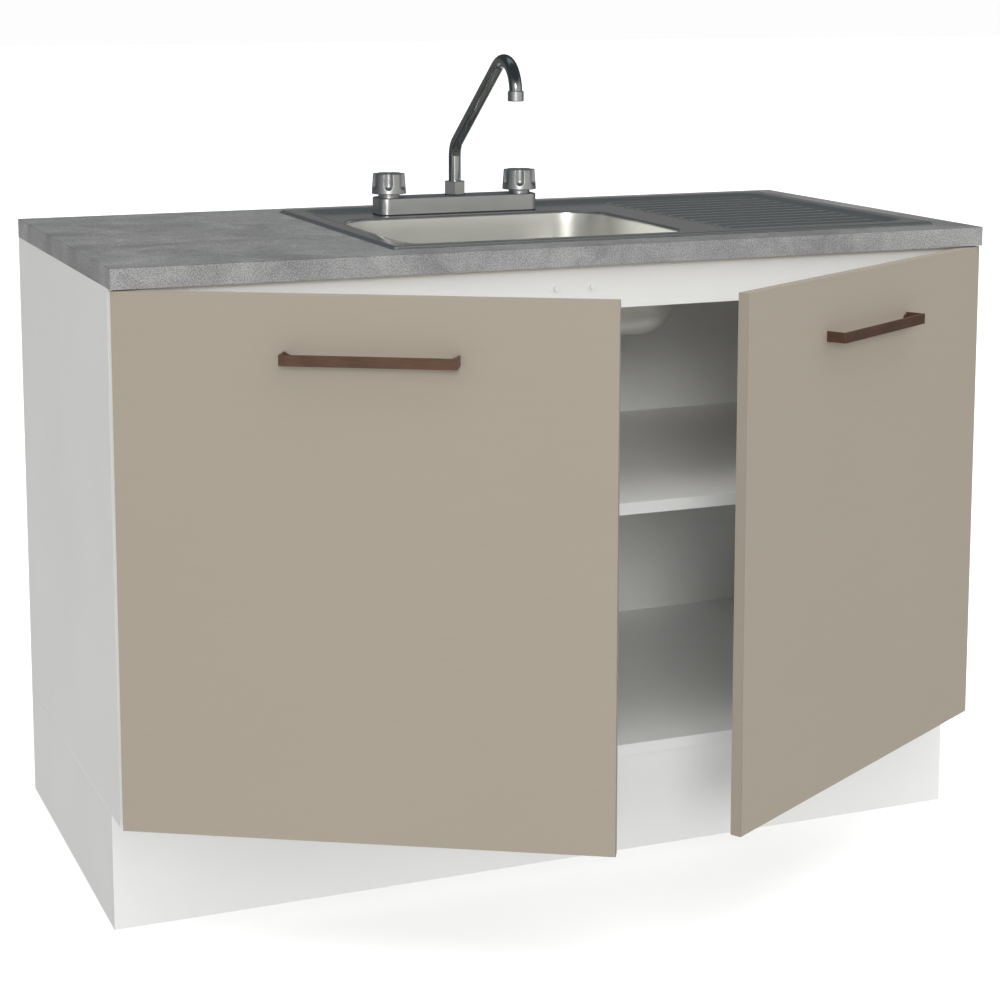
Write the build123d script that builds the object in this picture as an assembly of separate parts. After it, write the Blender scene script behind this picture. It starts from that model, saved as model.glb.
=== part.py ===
from build123d import *
import os
from math import cos, pi, radians, sin, tan

# Kitchen sink unit, in millimetres. +X to the right, +Y to the wall, +Z up.
# The origin is on the floor, in the middle of the unit's footprint.
# The doors stand open in the rest position.

# ---- Driving dimensions: cabinet ----
unit_width = 1200.0
unit_depth = 600.0
plinth_height = 150.0
carcass_height = 661.0
board = 16.0
carcass_setback = 19.0
plinth_setback = 66.4
back_thickness = 3.0
rebate_width = 8.0
loose_fit = 0.5
front_rail_height = 59.0
back_rail_height = 60.0
shelf_underside_height = 327.0
shelf_side_gap = 1.0
shelf_front_setback = 2.0
pipe_cutout_width = 320.0
pipe_cutout_height = 160.0
pipe_cutout_corner = 15.0

# ---- Driving dimensions: joinery and fasteners ----
cam_radius = 7.5
cam_depth = 12.5
cam_end_distance = 34.0
cam_bolt_radius = 3.0
cam_bolt_bite = 11.0
cam_bolt_past_centre = 2.5
joint_clearance = 0.3
dowel_radius = 4.0
dowel_bite_side = 10.0
dowel_bite_board = 20.0
cam_edge_distance = 50.0
dowel_spacing = 60.0
shelf_pin_radius = 2.5
shelf_pin_bite = 8.0
shelf_pin_reach = 12.0
shelf_pin_height = 11.0
shelf_pin_width = 12.0
shelf_pin_plate = 1.8
shelf_pin_inset = 45.0
screw_radius = 1.6
screw_head_radius = 3.5
screw_head_height = 2.0
screw_length = 12.0
screw_clearance = 0.1
bracket_leg = 30.0
bracket_width = 20.0
bracket_thickness = 2.0
bracket_inset = 62.0

# ---- Driving dimensions: worktop ----
worktop_core_thickness = 25.0
laminate_thickness = 0.6
edging_thickness = 0.8

# ---- Driving dimensions: sink ----
sheet = 0.8
sink_width = 790.0
sink_end_margin = 44.0
sink_front_margin = 50.0
sink_corner = 8.0
bevel_width = 6.0
rim_rise = 4.0
rim_width = 14.0
slope_width = 24.0
deck_drop = 1.0
recess_corner = 34.0
cutout_inset = 14.0
cutout_corner = 24.0
bowl_width = 398.0
bowl_end_margin = 44.0
bowl_front_margin = 38.0
bowl_back_margin = 120.0
bowl_corner = 65.0
bowl_depth = 140.0
bowl_draft = 3.0
bowl_bottom_radius = 45.0
fold_radius = 4.0
rib_count = 13
rib_side_margin = 52.0
rib_height = 2.4
rib_half_width = 5.5
rib_bowl_gap = 54.0
rib_end_margin = 38.0
rib_shift = 1.0
seal_inset = 7.0
seal_width = 6.0
clip_thickness = 2.0
clip_width = 20.0
clip_foot_length = 19.0
clip_foot_drop = 5.0
clip_screw_radius = 2.5
clip_screw_tail = 5.0
clip_screw_inset = 5.7
clip_end_distance = 95.0
cut_past = 1.0

# ---- Driving dimensions: waste and trap ----
waste_hole_radius = 44.0
waste_flange_radius = 56.0
waste_flange_thickness = 1.5
waste_cup_radius = 43.0
waste_cup_wall = 1.0
waste_cup_depth = 26.0
waste_slot_count = 6
waste_slot_radius = 7.0
waste_slot_circle = 20.0
gasket_thickness = 3.0
waste_body_radius = 58.0
waste_body_flange = 4.0
waste_body_wall = 3.0
waste_body_gap = 3.0
spigot_radius = 22.0
spigot_wall = 4.0
spigot_length = 24.0
boss_radius = 6.0
boss_length = 24.0
boss_floor = 2.0
spoke_width = 3.0
waste_screw_radius = 3.0
waste_screw_head = 5.5
waste_screw_head_height = 2.0
waste_screw_tip_gap = 2.0
basket_radius = 34.0
basket_wall = 1.0
basket_post_radius = 4.0
basket_post_rise = 14.0
basket_knob_radius = 8.0
basket_knob_height = 4.0
basket_lip_overlap = 2.0
basket_floor_gap = 1.0
basket_hole_count = 12
basket_hole_radius = 2.5
basket_hole_circle = 24.0
basket_clearance = 0.5
pipe_radius = 16.0
pipe_wall = 2.0
collar_thickness = 3.0
nut_wall = 6.0
nut_length = 22.0
nut_lip = 7.0
nut_groove_count = 12
nut_groove_radius = 2.0
nut_groove_outset = 1.0
slip_clearance = 0.1
bottle_radius = 34.0
bottle_wall = 3.0
bottle_top_z = 612.0
bottle_bottom_z = 530.0
bottle_neck_height = 14.0
dip_pipe_bottom_z = 545.0
trap_cup_wall = 4.0
trap_cup_height = 30.0
trap_cup_floor = 3.0
trap_cup_bottom_z = 514.0
trap_outlet_z = 585.0
outlet_radius = 20.0
outlet_wall = 1.8
outlet_spigot_reach = 37.0
outlet_wall_gap = 55.0
outlet_insert_length = 42.0
outlet_bead_width = 2.0
outlet_bead_rise = 1.0

# ---- Driving dimensions: tap ----
tap_bowl_offset = 2.5
tap_back_margin = 75.0
tap_end_reach = 20.4
tap_width = 50.0
tap_corner = 14.0
tap_height = 24.5
tap_gasket_thickness = 1.5
tap_top_round = 1.5
supply_spacing = 203.2
tail_radius = 10.475
tail_bore = 7.0
tail_bite = 5.0
tail_length = 55.0
tail_thread_length = 30.0
tail_relief_length = 2.0
tail_relief_depth = 0.6
tail_nut_radius = 16.0
tail_nut_height = 9.0
gallery_radius = 5.0
port_radius = 4.0
valve_bore_radius = 9.0
valve_body_depth = 14.0
valve_collar_radius = 15.5
valve_collar_height = 5.0
valve_neck_radius = 6.0
valve_neck_height = 17.0
knob_gap = 0.4
knob_bottom_radius = 25.0
knob_top_radius = 22.75
knob_height = 29.2
flute_count = 6
flute_radius = 8.0
flute_circle = 27.5
flute_length = 24.0
flute_phase = -110.0
cap_radius = 9.0
cap_thickness = 1.5
cap_dimple_radius = 1.6
running_clearance = 0.05
spout_radius = 8.9
spout_wall = 1.2
spout_socket_depth = 14.0
spout_nut_radius = 16.5
spout_nut_height = 18.5
spout_nut_chamfer = 1.5
spout_washer_radius = 15.0
spout_washer_thickness = 1.5
spout_corner_rise = 95.4
spout_rise_angle = 36.2
spout_low_bend = 30.0
spout_reach = 232.0
spout_hook_radius = 41.4
aerator_radius = 11.0
aerator_height = 14.0
aerator_drop = 12.2
aerator_lip = 1.0
aerator_chamfer = 0.8
insert_height = 3.0
insert_hole_radius = 1.2
insert_hole_circle = 4.5
insert_hole_count = 6

# ---- Driving dimensions: doors, handles and hinges ----
door_thickness = 15.0
door_gap = 4.0
door_side_reveal = 2.0
door_centre_gap = 3.0
door_bottom_reveal = 1.0
door_top_reveal = 1.5
door_open_angle = 30.0
handle_length = 208.0
handle_height = 13.0
handle_projection = 26.0
handle_strip = 3.0
handle_foot = 10.0
handle_foot_chamfer = 4.3
handle_start = 206.0
handle_below_top = 73.1
handle_bend = 1.0
handle_screw_radius = 2.0
handle_screw_inset = 6.5
handle_screw_head_radius = 4.0
handle_screw_head_height = 2.4
hinge_offset = 91.0
pin_edge_distance = 9.0
pin_depth = 10.0
pin_radius = 1.0
cup_radius = 17.5
cup_wall = 0.8
cup_depth = 13.0
cup_edge_distance = 21.5
cup_hole_clearance = 0.3
ear_near = 5.5
ear_far = 8.0
ear_half_width = 2.5
ear_rise = 3.8
wing_start = 15.0
wing_end = 30.0
wing_half_width = 7.0
wing_thickness = 1.2
wing_screw_offset = 24.0
door_screw_length = 11.0
arm_half_height = 5.0
arm_half_thickness = 1.0
arm_eye_radius = 1.9
arm_reach = 13.0
plate_near = 23.0
plate_far = 59.0
plate_half_height = 9.0
plate_wing_half_height = 24.0
plate_wing_thickness = 1.5
plate_screw_offset = 17.0
bumper_radius = 4.0
bumper_clearance = 0.4
bumper_offset = 25.0

# ---- Places that follow from the driving dimensions ----
left_x = -unit_width / 2
front_y = -unit_depth / 2
back_y = unit_depth / 2
inner_left_x = left_x + board
carcass_front_y = front_y + carcass_setback
carcass_top_z = plinth_height + carcass_height
floor_top_z = plinth_height + board
back_panel_y = back_y - back_thickness
plinth_front_y = front_y + plinth_setback
plinth_inner_y = plinth_front_y + board
core_top_z = carcass_top_z + worktop_core_thickness
worktop_top_z = core_top_z + laminate_thickness
shelf_z = plinth_height + shelf_underside_height
front_rail_z = carcass_top_z - front_rail_height
back_rail_z = carcass_top_z - back_rail_height
front_rail_back_y = carcass_front_y + board
back_rail_y = back_panel_y - board

sink_depth = unit_depth - 2 * sink_front_margin
sink_centre_x = unit_width / 2 - sink_end_margin - sink_width / 2
sink_right_x = sink_centre_x + sink_width / 2
bowl_length = sink_depth - bowl_front_margin - bowl_back_margin
bowl_centre_x = sink_centre_x - sink_width / 2 + bowl_end_margin + bowl_width / 2
bowl_centre_y = bowl_front_margin + (bowl_length - sink_depth) / 2
rib_span = sink_depth - 2 * rib_side_margin
rib_left_x = bowl_centre_x + bowl_width / 2 + rib_bowl_gap
rib_right_x = sink_right_x - rib_end_margin
tap_centre_x = bowl_centre_x + tap_bowl_offset
tap_length = supply_spacing + 2 * tap_end_reach
tap_centre_y = sink_depth / 2 - tap_back_margin

rim_top_z = worktop_top_z + rim_rise
deck_z = worktop_top_z - deck_drop
deck_under_z = deck_z - sheet
bowl_floor_z = deck_z - bowl_depth
bowl_under_z = bowl_floor_z - sheet
slope_inset = bevel_width + rim_width + slope_width

cup_floor_z = bowl_floor_z - waste_cup_depth
gasket_bottom_z = bowl_under_z - gasket_thickness
body_flange_z = gasket_bottom_z - waste_body_flange
body_floor_z = cup_floor_z - waste_body_gap - waste_body_wall
spigot_bottom_z = body_floor_z - spigot_length
spigot_bore = spigot_radius - spigot_wall
nut_radius = spigot_radius + nut_wall
outlet_end_y = back_y - outlet_wall_gap

tap_base_z = deck_z + tap_gasket_thickness
tap_top_z = deck_z + tap_height
valve_top_z = tap_top_z + valve_collar_height
knob_bottom_z = valve_top_z + knob_gap
knob_top_z = knob_bottom_z + knob_height
spout_bottom_z = tap_top_z - spout_socket_depth
spout_tip_y = tap_centre_y - spout_reach
spout_corner_z = deck_z + spout_corner_rise

pin_y = carcass_front_y - door_gap - pin_depth
door_back_y = carcass_front_y - door_gap
door_front_y = door_back_y - door_thickness
door_edge_x = left_x + door_side_reveal
door_free_x = -door_centre_gap / 2
door_bottom_z = plinth_height + door_bottom_reveal
door_top_z = carcass_top_z - door_top_reveal
pin_x = door_edge_x + pin_edge_distance
cup_x = door_edge_x + cup_edge_distance
hinge_heights = (plinth_height + hinge_offset, carcass_top_z - hinge_offset)


def block(x0, x1, y0, y1, z0, z1):
    """Box between two corners."""
    centre = Pos((x0 + x1) / 2, (y0 + y1) / 2, (z0 + z1) / 2)
    return centre * Box(x1 - x0, y1 - y0, z1 - z0)


def post(x, y, z0, z1, radius):
    """Upright cylinder."""
    return Pos(x, y, (z0 + z1) / 2) * Cylinder(radius, z1 - z0)


def rod_x(x0, x1, y, z, radius):
    """Cylinder that lies along X."""
    return Pos((x0 + x1) / 2, y, z) * Rot(0, 90, 0) * Cylinder(radius, x1 - x0)


def rod_y(x, y0, y1, z, radius):
    """Cylinder that lies along Y."""
    return Pos(x, (y0 + y1) / 2, z) * Rot(90, 0, 0) * Cylinder(radius, y1 - y0)


def tube(x, y, z0, z1, outer, inner):
    """Upright tube."""
    return post(x, y, z0, z1, outer) - post(x, y, z0, z1, inner)


def to_right(shape):
    """Mirror image on the other half of the unit."""
    return mirror(shape, about=Plane.YZ)


def opened(shape):
    """Left door's piece, turned from the closed to the rest position."""
    turn = Pos(pin_x, pin_y, 0) * Rot(0, 0, -door_open_angle) * Pos(-pin_x, -pin_y, 0)
    return turn * shape


def group(shapes):
    """Separate solids kept together in one node."""
    return Compound([solid for shape in shapes for solid in shape.solids()])


# ---- Cabinet ----

def cam_places():
    """Axis of each cam bolt on the left: y, z, and the side the cam is let in from."""
    rail_mid_z = carcass_top_z - front_rail_height / 2
    bolt_z = plinth_height + board / 2
    return [
        (carcass_front_y + cam_edge_distance, bolt_z, "below"),
        (back_panel_y - cam_edge_distance, bolt_z, "below"),
        (carcass_front_y + board / 2, rail_mid_z, "behind"),
        (back_rail_y + board / 2, rail_mid_z, "before"),
    ]


def dowel_places():
    """Axis of each dowel on the left: y, z."""
    bolt_z = plinth_height + board / 2
    rail_mid_z = carcass_top_z - front_rail_height / 2
    rail_step = front_rail_height / 3
    return [
        (carcass_front_y + cam_edge_distance + dowel_spacing, bolt_z),
        (back_panel_y - cam_edge_distance - dowel_spacing, bolt_z),
        (carcass_front_y + board / 2, rail_mid_z - rail_step),
        (back_rail_y + board / 2, rail_mid_z - rail_step),
    ]


cam_x = inner_left_x + cam_end_distance


def cam_blank(place, clearance):
    """Cam lock's round body, or its pocket when a clearance is given."""
    y, z, side = place
    radius = cam_radius + clearance
    if side == "below":
        return post(cam_x, y, plinth_height, plinth_height + cam_depth + clearance, radius)
    if side == "behind":
        back = front_rail_back_y
        return rod_y(cam_x, back - cam_depth - clearance, back, z, radius)
    return rod_y(cam_x, back_rail_y, back_rail_y + cam_depth + clearance, z, radius)


def cam_bolt(place, clearance):
    y, z, _ = place
    start = inner_left_x - cam_bolt_bite - clearance
    return rod_x(start, cam_x + cam_bolt_past_centre + clearance, y, z, cam_bolt_radius + clearance)


def dowel(place, clearance):
    y, z = place
    start = inner_left_x - dowel_bite_side - clearance
    end = inner_left_x + dowel_bite_board + clearance
    return rod_x(start, end, y, z, dowel_radius + clearance)


def joint_pockets():
    """All that is drilled for the fittings on the left half."""
    pockets = [cam_blank(place, joint_clearance) for place in cam_places()]
    pockets += [cam_bolt(place, joint_clearance) for place in cam_places()]
    pockets += [dowel(place, joint_clearance) for place in dowel_places()]
    return pockets


def shelf_pin_places():
    return [carcass_front_y + shelf_pin_inset, back_panel_y - shelf_pin_inset]


def shelf_pin(y):
    """Peg in the side panel, with a shelf rest on it."""
    axis_z = shelf_z - shelf_pin_height / 2
    half = shelf_pin_width / 2
    peg = rod_x(inner_left_x - shelf_pin_bite, inner_left_x, y, axis_z, shelf_pin_radius)
    back = block(inner_left_x, inner_left_x + shelf_pin_plate, y - half, y + half,
                 shelf_z - shelf_pin_height, shelf_z)
    rest = block(inner_left_x, inner_left_x + shelf_pin_reach, y - half, y + half,
                 shelf_z - shelf_pin_plate, shelf_z)
    return peg + back + rest


def screw_along_x(x, y, z, way):
    """Screw whose head sits at x and whose thread runs in the way given, -1 or 1."""
    head_end = x - way * screw_head_height
    tip = x + way * screw_length
    head = rod_x(min(x, head_end), max(x, head_end), y, z, screw_head_radius)
    thread = rod_x(min(x, tip), max(x, tip), y, z, screw_radius)
    return head + thread


def side_screw_places():
    """Screws into the left side panel: head seat x, y, z."""
    bracket_x = inner_left_x + bracket_thickness
    bracket_z = carcass_top_z - bracket_leg * 2 / 3
    places = [(bracket_x, y, bracket_z) for y in bracket_places()]
    plate_x = inner_left_x + plate_wing_thickness
    plate_y = carcass_front_y + (plate_near + plate_far) / 2
    for z in hinge_heights:
        places.append((plate_x, plate_y, z - plate_screw_offset))
        places.append((plate_x, plate_y, z + plate_screw_offset))
    return places


def bracket_places():
    return [front_rail_back_y + bracket_inset, back_rail_y - bracket_inset]


def top_screw_places():
    """Screws up into the worktop on the left: x, y."""
    return [(inner_left_x + bracket_leg * 2 / 3, y) for y in bracket_places()]


def side_screw(place, clearance=0.0):
    x, y, z = place
    if clearance:
        return rod_x(x - screw_length - clearance, x, y, z, screw_radius + clearance)
    return screw_along_x(x, y, z, -1)


def top_screw(place, clearance=0.0):
    x, y = place
    seat = carcass_top_z - bracket_thickness
    if clearance:
        return post(x, y, seat, seat + screw_length + clearance, screw_radius + clearance)
    return post(x, y, seat - screw_head_height, seat, screw_head_radius) + post(
        x, y, seat, seat + screw_length, screw_radius)


def left_side_panel():
    panel = block(left_x, inner_left_x, carcass_front_y, back_y, plinth_height, carcass_top_z)
    panel -= block(inner_left_x - rebate_width, inner_left_x, back_panel_y, back_y,
                   plinth_height, carcass_top_z)
    for pocket in joint_pockets():
        panel -= pocket
    for y in shelf_pin_places():
        axis_z = shelf_z - shelf_pin_height / 2
        panel -= rod_x(inner_left_x - shelf_pin_bite - joint_clearance, inner_left_x, y, axis_z,
                       shelf_pin_radius + running_clearance)
    for place in side_screw_places():
        panel -= side_screw(place, screw_clearance)
    return panel


def between_sides(y0, y1, z0, z1):
    """Board from side to side, drilled for its fittings at both ends."""
    piece = block(inner_left_x, -inner_left_x, y0, y1, z0, z1)
    for pocket in joint_pockets():
        piece -= pocket
        piece -= to_right(pocket)
    return piece


def back_panel():
    half = -inner_left_x + rebate_width - loose_fit
    panel = block(-half, half, back_panel_y, back_y, plinth_height + loose_fit,
                  carcass_top_z - loose_fit)
    hole = RectangleRounded(pipe_cutout_width, pipe_cutout_height, pipe_cutout_corner)
    cut = extrude(Plane.XZ * hole, amount=back_thickness, both=True)
    return panel - Pos(bowl_centre_x, back_panel_y, trap_outlet_z) * cut


def shelf():
    half = -inner_left_x - shelf_side_gap
    return block(-half, half, carcass_front_y + shelf_front_setback, back_panel_y - loose_fit,
                 shelf_z, shelf_z + board)


def cam_lock(place):
    return cam_blank(place, 0.0) - cam_bolt(place, joint_clearance)


def both_halves(shapes):
    return group(list(shapes) + [to_right(shape) for shape in shapes])


def worktop_bracket(y):
    half = bracket_width / 2
    upright = block(inner_left_x, inner_left_x + bracket_thickness, y - half, y + half,
                    carcass_top_z - bracket_leg, carcass_top_z)
    flat = block(inner_left_x, inner_left_x + bracket_leg, y - half, y + half,
                 carcass_top_z - bracket_thickness, carcass_top_z)
    bracket = upright + flat
    for place in side_screw_places():
        bracket -= side_screw(place, screw_clearance)
    for place in top_screw_places():
        bracket -= top_screw(place, screw_clearance)
    return bracket


def plinth():
    """Plinth frame: front over the full width, the rest behind it."""
    return {
        "plinth_front": block(left_x, -left_x, plinth_front_y, plinth_inner_y, 0, plinth_height),
        "plinth_back": block(inner_left_x, -inner_left_x, back_y - board, back_y, 0, plinth_height),
        "plinth_left": block(left_x, inner_left_x, plinth_inner_y, back_y, 0, plinth_height),
        "plinth_right": block(-inner_left_x, -left_x, plinth_inner_y, back_y, 0, plinth_height),
        "plinth_centre": block(-board / 2, board / 2, plinth_inner_y, back_y - board, 0,
                               plinth_height),
    }


# ---- Worktop ----

def sink_outline(inset, corner, z0, z1):
    """Upright block in the sink's plan, drawn in by an inset."""
    face = RectangleRounded(sink_width - 2 * inset, sink_depth - 2 * inset, corner)
    return Pos(sink_centre_x, 0, z0) * extrude(face, amount=z1 - z0)


def worktop_cutout(z0, z1):
    return sink_outline(cutout_inset, cutout_corner, z0, z1)


def worktop_core():
    core = block(left_x + edging_thickness, -left_x - edging_thickness,
                 front_y + edging_thickness, back_y, carcass_top_z, core_top_z)
    core -= worktop_cutout(carcass_top_z - cut_past, core_top_z + cut_past)
    for place in top_screw_places():
        core -= top_screw(place, screw_clearance)
        core -= to_right(top_screw(place, screw_clearance))
    return core


def worktop_laminate():
    top = block(left_x, -left_x, front_y, back_y, core_top_z, worktop_top_z)
    return top - worktop_cutout(core_top_z - cut_past, worktop_top_z + cut_past)


def worktop_edging():
    inner_y = front_y + edging_thickness
    front = block(left_x, -left_x, front_y, inner_y, carcass_top_z, core_top_z)
    left = block(left_x, left_x + edging_thickness, inner_y, back_y, carcass_top_z, core_top_z)
    return group([front, left, to_right(left)])


# ---- Sink ----

def sink_rise(inset_low, corner_low, z_low, inset_high, corner_high, z_high):
    """Sloping block between two plans of the sink."""
    low = RectangleRounded(sink_width - 2 * inset_low, sink_depth - 2 * inset_low, corner_low)
    high = RectangleRounded(sink_width - 2 * inset_high, sink_depth - 2 * inset_high, corner_high)
    return loft([Pos(sink_centre_x, 0, z_low) * low, Pos(sink_centre_x, 0, z_high) * high])


def rib_crown():
    """Radius of the circle that a rib's crown follows."""
    return (rib_height ** 2 + rib_half_width ** 2) / (2 * rib_height)


def rib(index, drop):
    """One drainer rib, a long capsule that stands out of the deck."""
    crown = rib_crown()
    y = -rib_span / 2 + index * rib_span / (rib_count - 1)
    z = deck_z + rib_height - crown - drop
    start = rib_left_x + rib_shift * (rib_count - 1 - index) + crown
    end = rib_right_x - crown
    return rod_x(start, end, y, z, crown) + Pos(start, y, z) * Sphere(crown) + Pos(
        end, y, z) * Sphere(crown)


def deck_form(drop):
    """Everything under the sink's top surface, lowered by a drop."""
    edge_z = worktop_top_z + sheet - drop
    crest_z = rim_top_z - drop
    low_z = deck_z - 3 * rib_crown() - drop
    form = sink_outline(0, sink_corner, low_z, edge_z)
    form += sink_rise(0, sink_corner, edge_z, bevel_width, sink_corner - bevel_width / 2, crest_z)
    slope_top = bevel_width + rim_width
    form -= sink_rise(slope_inset, recess_corner - slope_width / 2, deck_z - drop,
                      slope_top, recess_corner, crest_z)
    for index in range(rib_count):
        form += rib(index, drop)
    return form


def bowl_plan(grow):
    return RectangleRounded(bowl_width + 2 * grow, bowl_length + 2 * grow, bowl_corner + grow)


def bowl_prism(grow, z0, z1):
    return Pos(bowl_centre_x, bowl_centre_y, z0) * extrude(bowl_plan(grow), amount=z1 - z0)


def bowl_form(grow):
    """Solid that fills the bowl, grown by a wall."""
    depth = bowl_depth + grow
    solid = extrude(bowl_plan(grow), amount=-depth, taper=bowl_draft)
    bottom = solid.faces().sort_by(Axis.Z)[0]
    solid = fillet(bottom.edges(), bowl_bottom_radius + grow)
    return Pos(bowl_centre_x, bowl_centre_y, deck_z) * solid


def tap_hole_places():
    half = supply_spacing / 2
    return [tap_centre_x - half, tap_centre_x + half]


def sink_deck():
    """Pressed top: rim, fall to the deck, drainer ribs and the tap's holes."""
    deck = deck_form(0.0) - deck_form(sheet)
    deck -= bowl_prism(fold_radius, deck_z - 2 * sheet, deck_z + rim_rise)
    for x in tap_hole_places():
        deck -= post(x, tap_centre_y, deck_z - 2 * sheet, deck_z + cut_past,
                     tail_radius + loose_fit)
    return deck


def sink_bowl():
    """Bowl with its mouth folded out to meet the deck."""
    inside = bowl_form(0.0)
    wall = bowl_form(sheet)
    wall -= bowl_prism(2 * fold_radius, deck_z - fold_radius, deck_z + cut_past)
    lip = bowl_prism(fold_radius, deck_z - fold_radius, deck_z)
    bowl = (wall + lip) - inside
    mouth = [edge for edge in bowl.edges() if inner_mouth_edge(edge)]
    bowl = fillet(mouth, fold_radius - sheet / 2)
    waste = post(bowl_centre_x, bowl_centre_y, bowl_under_z - cut_past, bowl_floor_z + cut_past,
                 waste_hole_radius)
    return bowl - waste


def inner_mouth_edge(edge):
    """True for the edges where the bowl's inside meets the deck's level."""
    box = edge.bounding_box()
    flat = abs(box.min.Z - deck_z) < 0.01 and abs(box.max.Z - deck_z) < 0.01
    reach_x = max(abs(box.min.X - bowl_centre_x), abs(box.max.X - bowl_centre_x))
    reach_y = max(abs(box.min.Y - bowl_centre_y), abs(box.max.Y - bowl_centre_y))
    near = fold_radius / 2
    return flat and reach_x < bowl_width / 2 + near and reach_y < bowl_length / 2 + near


def sink_seal():
    """Foam strip between the rim and the worktop."""
    top = rim_top_z - sheet
    outer = sink_outline(seal_inset, sink_corner, worktop_top_z, top)
    inner_inset = seal_inset + seal_width
    return outer - sink_outline(inner_inset, sink_corner, worktop_top_z, top)


def clip_at(along, edge, outward):
    """Clamp clip, drawn for the sink's right edge and then turned to its own."""
    inset = cutout_inset + clip_thickness / 2
    foot_top_z = carcass_top_z - clip_foot_drop
    foot_z = foot_top_z - clip_thickness
    strap = block(-inset - clip_thickness, -inset, -clip_width / 2, clip_width / 2,
                  foot_z, rim_top_z - sheet)
    foot = block(-inset, -inset + clip_foot_length, -clip_width / 2, clip_width / 2,
                 foot_z, foot_top_z)
    screw_x = -inset + clip_foot_length - clip_screw_inset
    hole = post(screw_x, 0, foot_z, foot_top_z, clip_screw_radius + screw_clearance)
    screw = post(screw_x, 0, foot_z - clip_screw_tail, carcass_top_z, clip_screw_radius)
    place = Pos(*edge_point(along, edge)) * Rot(0, 0, outward)
    return [place * (strap + foot - hole), place * screw]


def edge_point(along, edge):
    """Point on the sink's outline, above which z is left as it is."""
    if edge == "right":
        return (sink_centre_x + sink_width / 2, along, 0)
    if edge == "left":
        return (sink_centre_x - sink_width / 2, along, 0)
    side = -1 if edge == "front" else 1
    return (along, side * sink_depth / 2, 0)


def sink_clips():
    turns = {"right": 0, "back": 90, "left": 180, "front": 270}
    spread = sink_width / 2 - clip_end_distance
    pieces = []
    for edge in ("front", "back"):
        for along in (sink_centre_x - spread, sink_centre_x, sink_centre_x + spread):
            pieces += clip_at(along, edge, turns[edge])
    for edge in ("left", "right"):
        pieces += clip_at(0, edge, turns[edge])
    return group(pieces)


# ---- Waste and trap ----

def at_waste(z0, z1, radius):
    return post(bowl_centre_x, bowl_centre_y, z0, z1, radius)


def around_waste(count, circle):
    places = []
    for index in range(count):
        angle = 2 * pi * index / count
        places.append((bowl_centre_x + circle * cos(angle), bowl_centre_y + circle * sin(angle)))
    return places


def waste_flange():
    """Flange on the bowl's floor, with the cup that the basket stands in."""
    top = bowl_floor_z + waste_flange_thickness
    flange = at_waste(bowl_floor_z, top, waste_flange_radius)
    flange += at_waste(cup_floor_z, top, waste_cup_radius)
    flange -= at_waste(cup_floor_z + waste_cup_wall, top, waste_cup_radius - waste_cup_wall)
    flange -= at_waste(cup_floor_z, top, waste_screw_radius + screw_clearance)
    for x, y in around_waste(waste_slot_count, waste_slot_circle + waste_slot_radius):
        flange -= post(x, y, cup_floor_z, cup_floor_z + waste_cup_wall, waste_slot_radius)
    return flange


def waste_gasket():
    hole = waste_hole_radius + loose_fit
    return tube(bowl_centre_x, bowl_centre_y, gasket_bottom_z, bowl_under_z, waste_flange_radius,
                hole)


def waste_body():
    """Moulded body clamped under the bowl, down to the trap's spigot."""
    cavity = waste_hole_radius + loose_fit
    floor_top = body_floor_z + waste_body_wall
    outer = cavity + waste_body_wall
    body = at_waste(body_flange_z, gasket_bottom_z, waste_body_radius)
    body += at_waste(body_floor_z, gasket_bottom_z, outer)
    body += at_waste(spigot_bottom_z, body_floor_z, spigot_radius)
    body -= at_waste(floor_top, gasket_bottom_z, cavity)
    body -= at_waste(spigot_bottom_z, floor_top, spigot_bore)
    boss_bottom = cup_floor_z - boss_length
    body += at_waste(boss_bottom, cup_floor_z, boss_radius)
    for turn in (0, 120, 240):
        spoke = block(boss_radius / 2, spigot_bore + cut_past, -spoke_width / 2, spoke_width / 2,
                      boss_bottom, body_floor_z + waste_body_wall)
        body += Pos(bowl_centre_x, bowl_centre_y, 0) * Rot(0, 0, turn) * spoke
    return body - at_waste(boss_bottom + boss_floor, cup_floor_z, waste_screw_radius + screw_clearance)


def waste_screw():
    head_z = cup_floor_z + waste_cup_wall
    tip_z = cup_floor_z - boss_length + boss_floor + waste_screw_tip_gap
    head = at_waste(head_z, head_z + waste_screw_head_height, waste_screw_head)
    return head + at_waste(tip_z, head_z, waste_screw_radius)


def strainer_basket():
    """Removable basket with a lifting post."""
    bottom = cup_floor_z + waste_cup_wall + waste_screw_head_height + basket_floor_gap
    rim_z = bowl_floor_z + waste_flange_thickness + basket_clearance
    lip_radius = waste_cup_radius + basket_lip_overlap
    basket = at_waste(bottom, rim_z, basket_radius)
    basket += at_waste(rim_z, rim_z + basket_wall, lip_radius)
    basket -= at_waste(bottom + basket_wall, rim_z + basket_wall, basket_radius - basket_wall)
    for x, y in around_waste(basket_hole_count, basket_hole_circle):
        basket -= post(x, y, bottom, bottom + basket_wall, basket_hole_radius)
    crown = rim_z + basket_post_rise
    basket += at_waste(bottom, crown, basket_post_radius)
    return basket + at_waste(crown - basket_knob_height, crown, basket_knob_radius)


def trap_inlet_pipe():
    pipe = at_waste(dip_pipe_bottom_z, spigot_bottom_z, pipe_radius)
    pipe += at_waste(spigot_bottom_z - collar_thickness, spigot_bottom_z, spigot_radius)
    return pipe - at_waste(dip_pipe_bottom_z, spigot_bottom_z, pipe_radius - pipe_wall)


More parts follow.
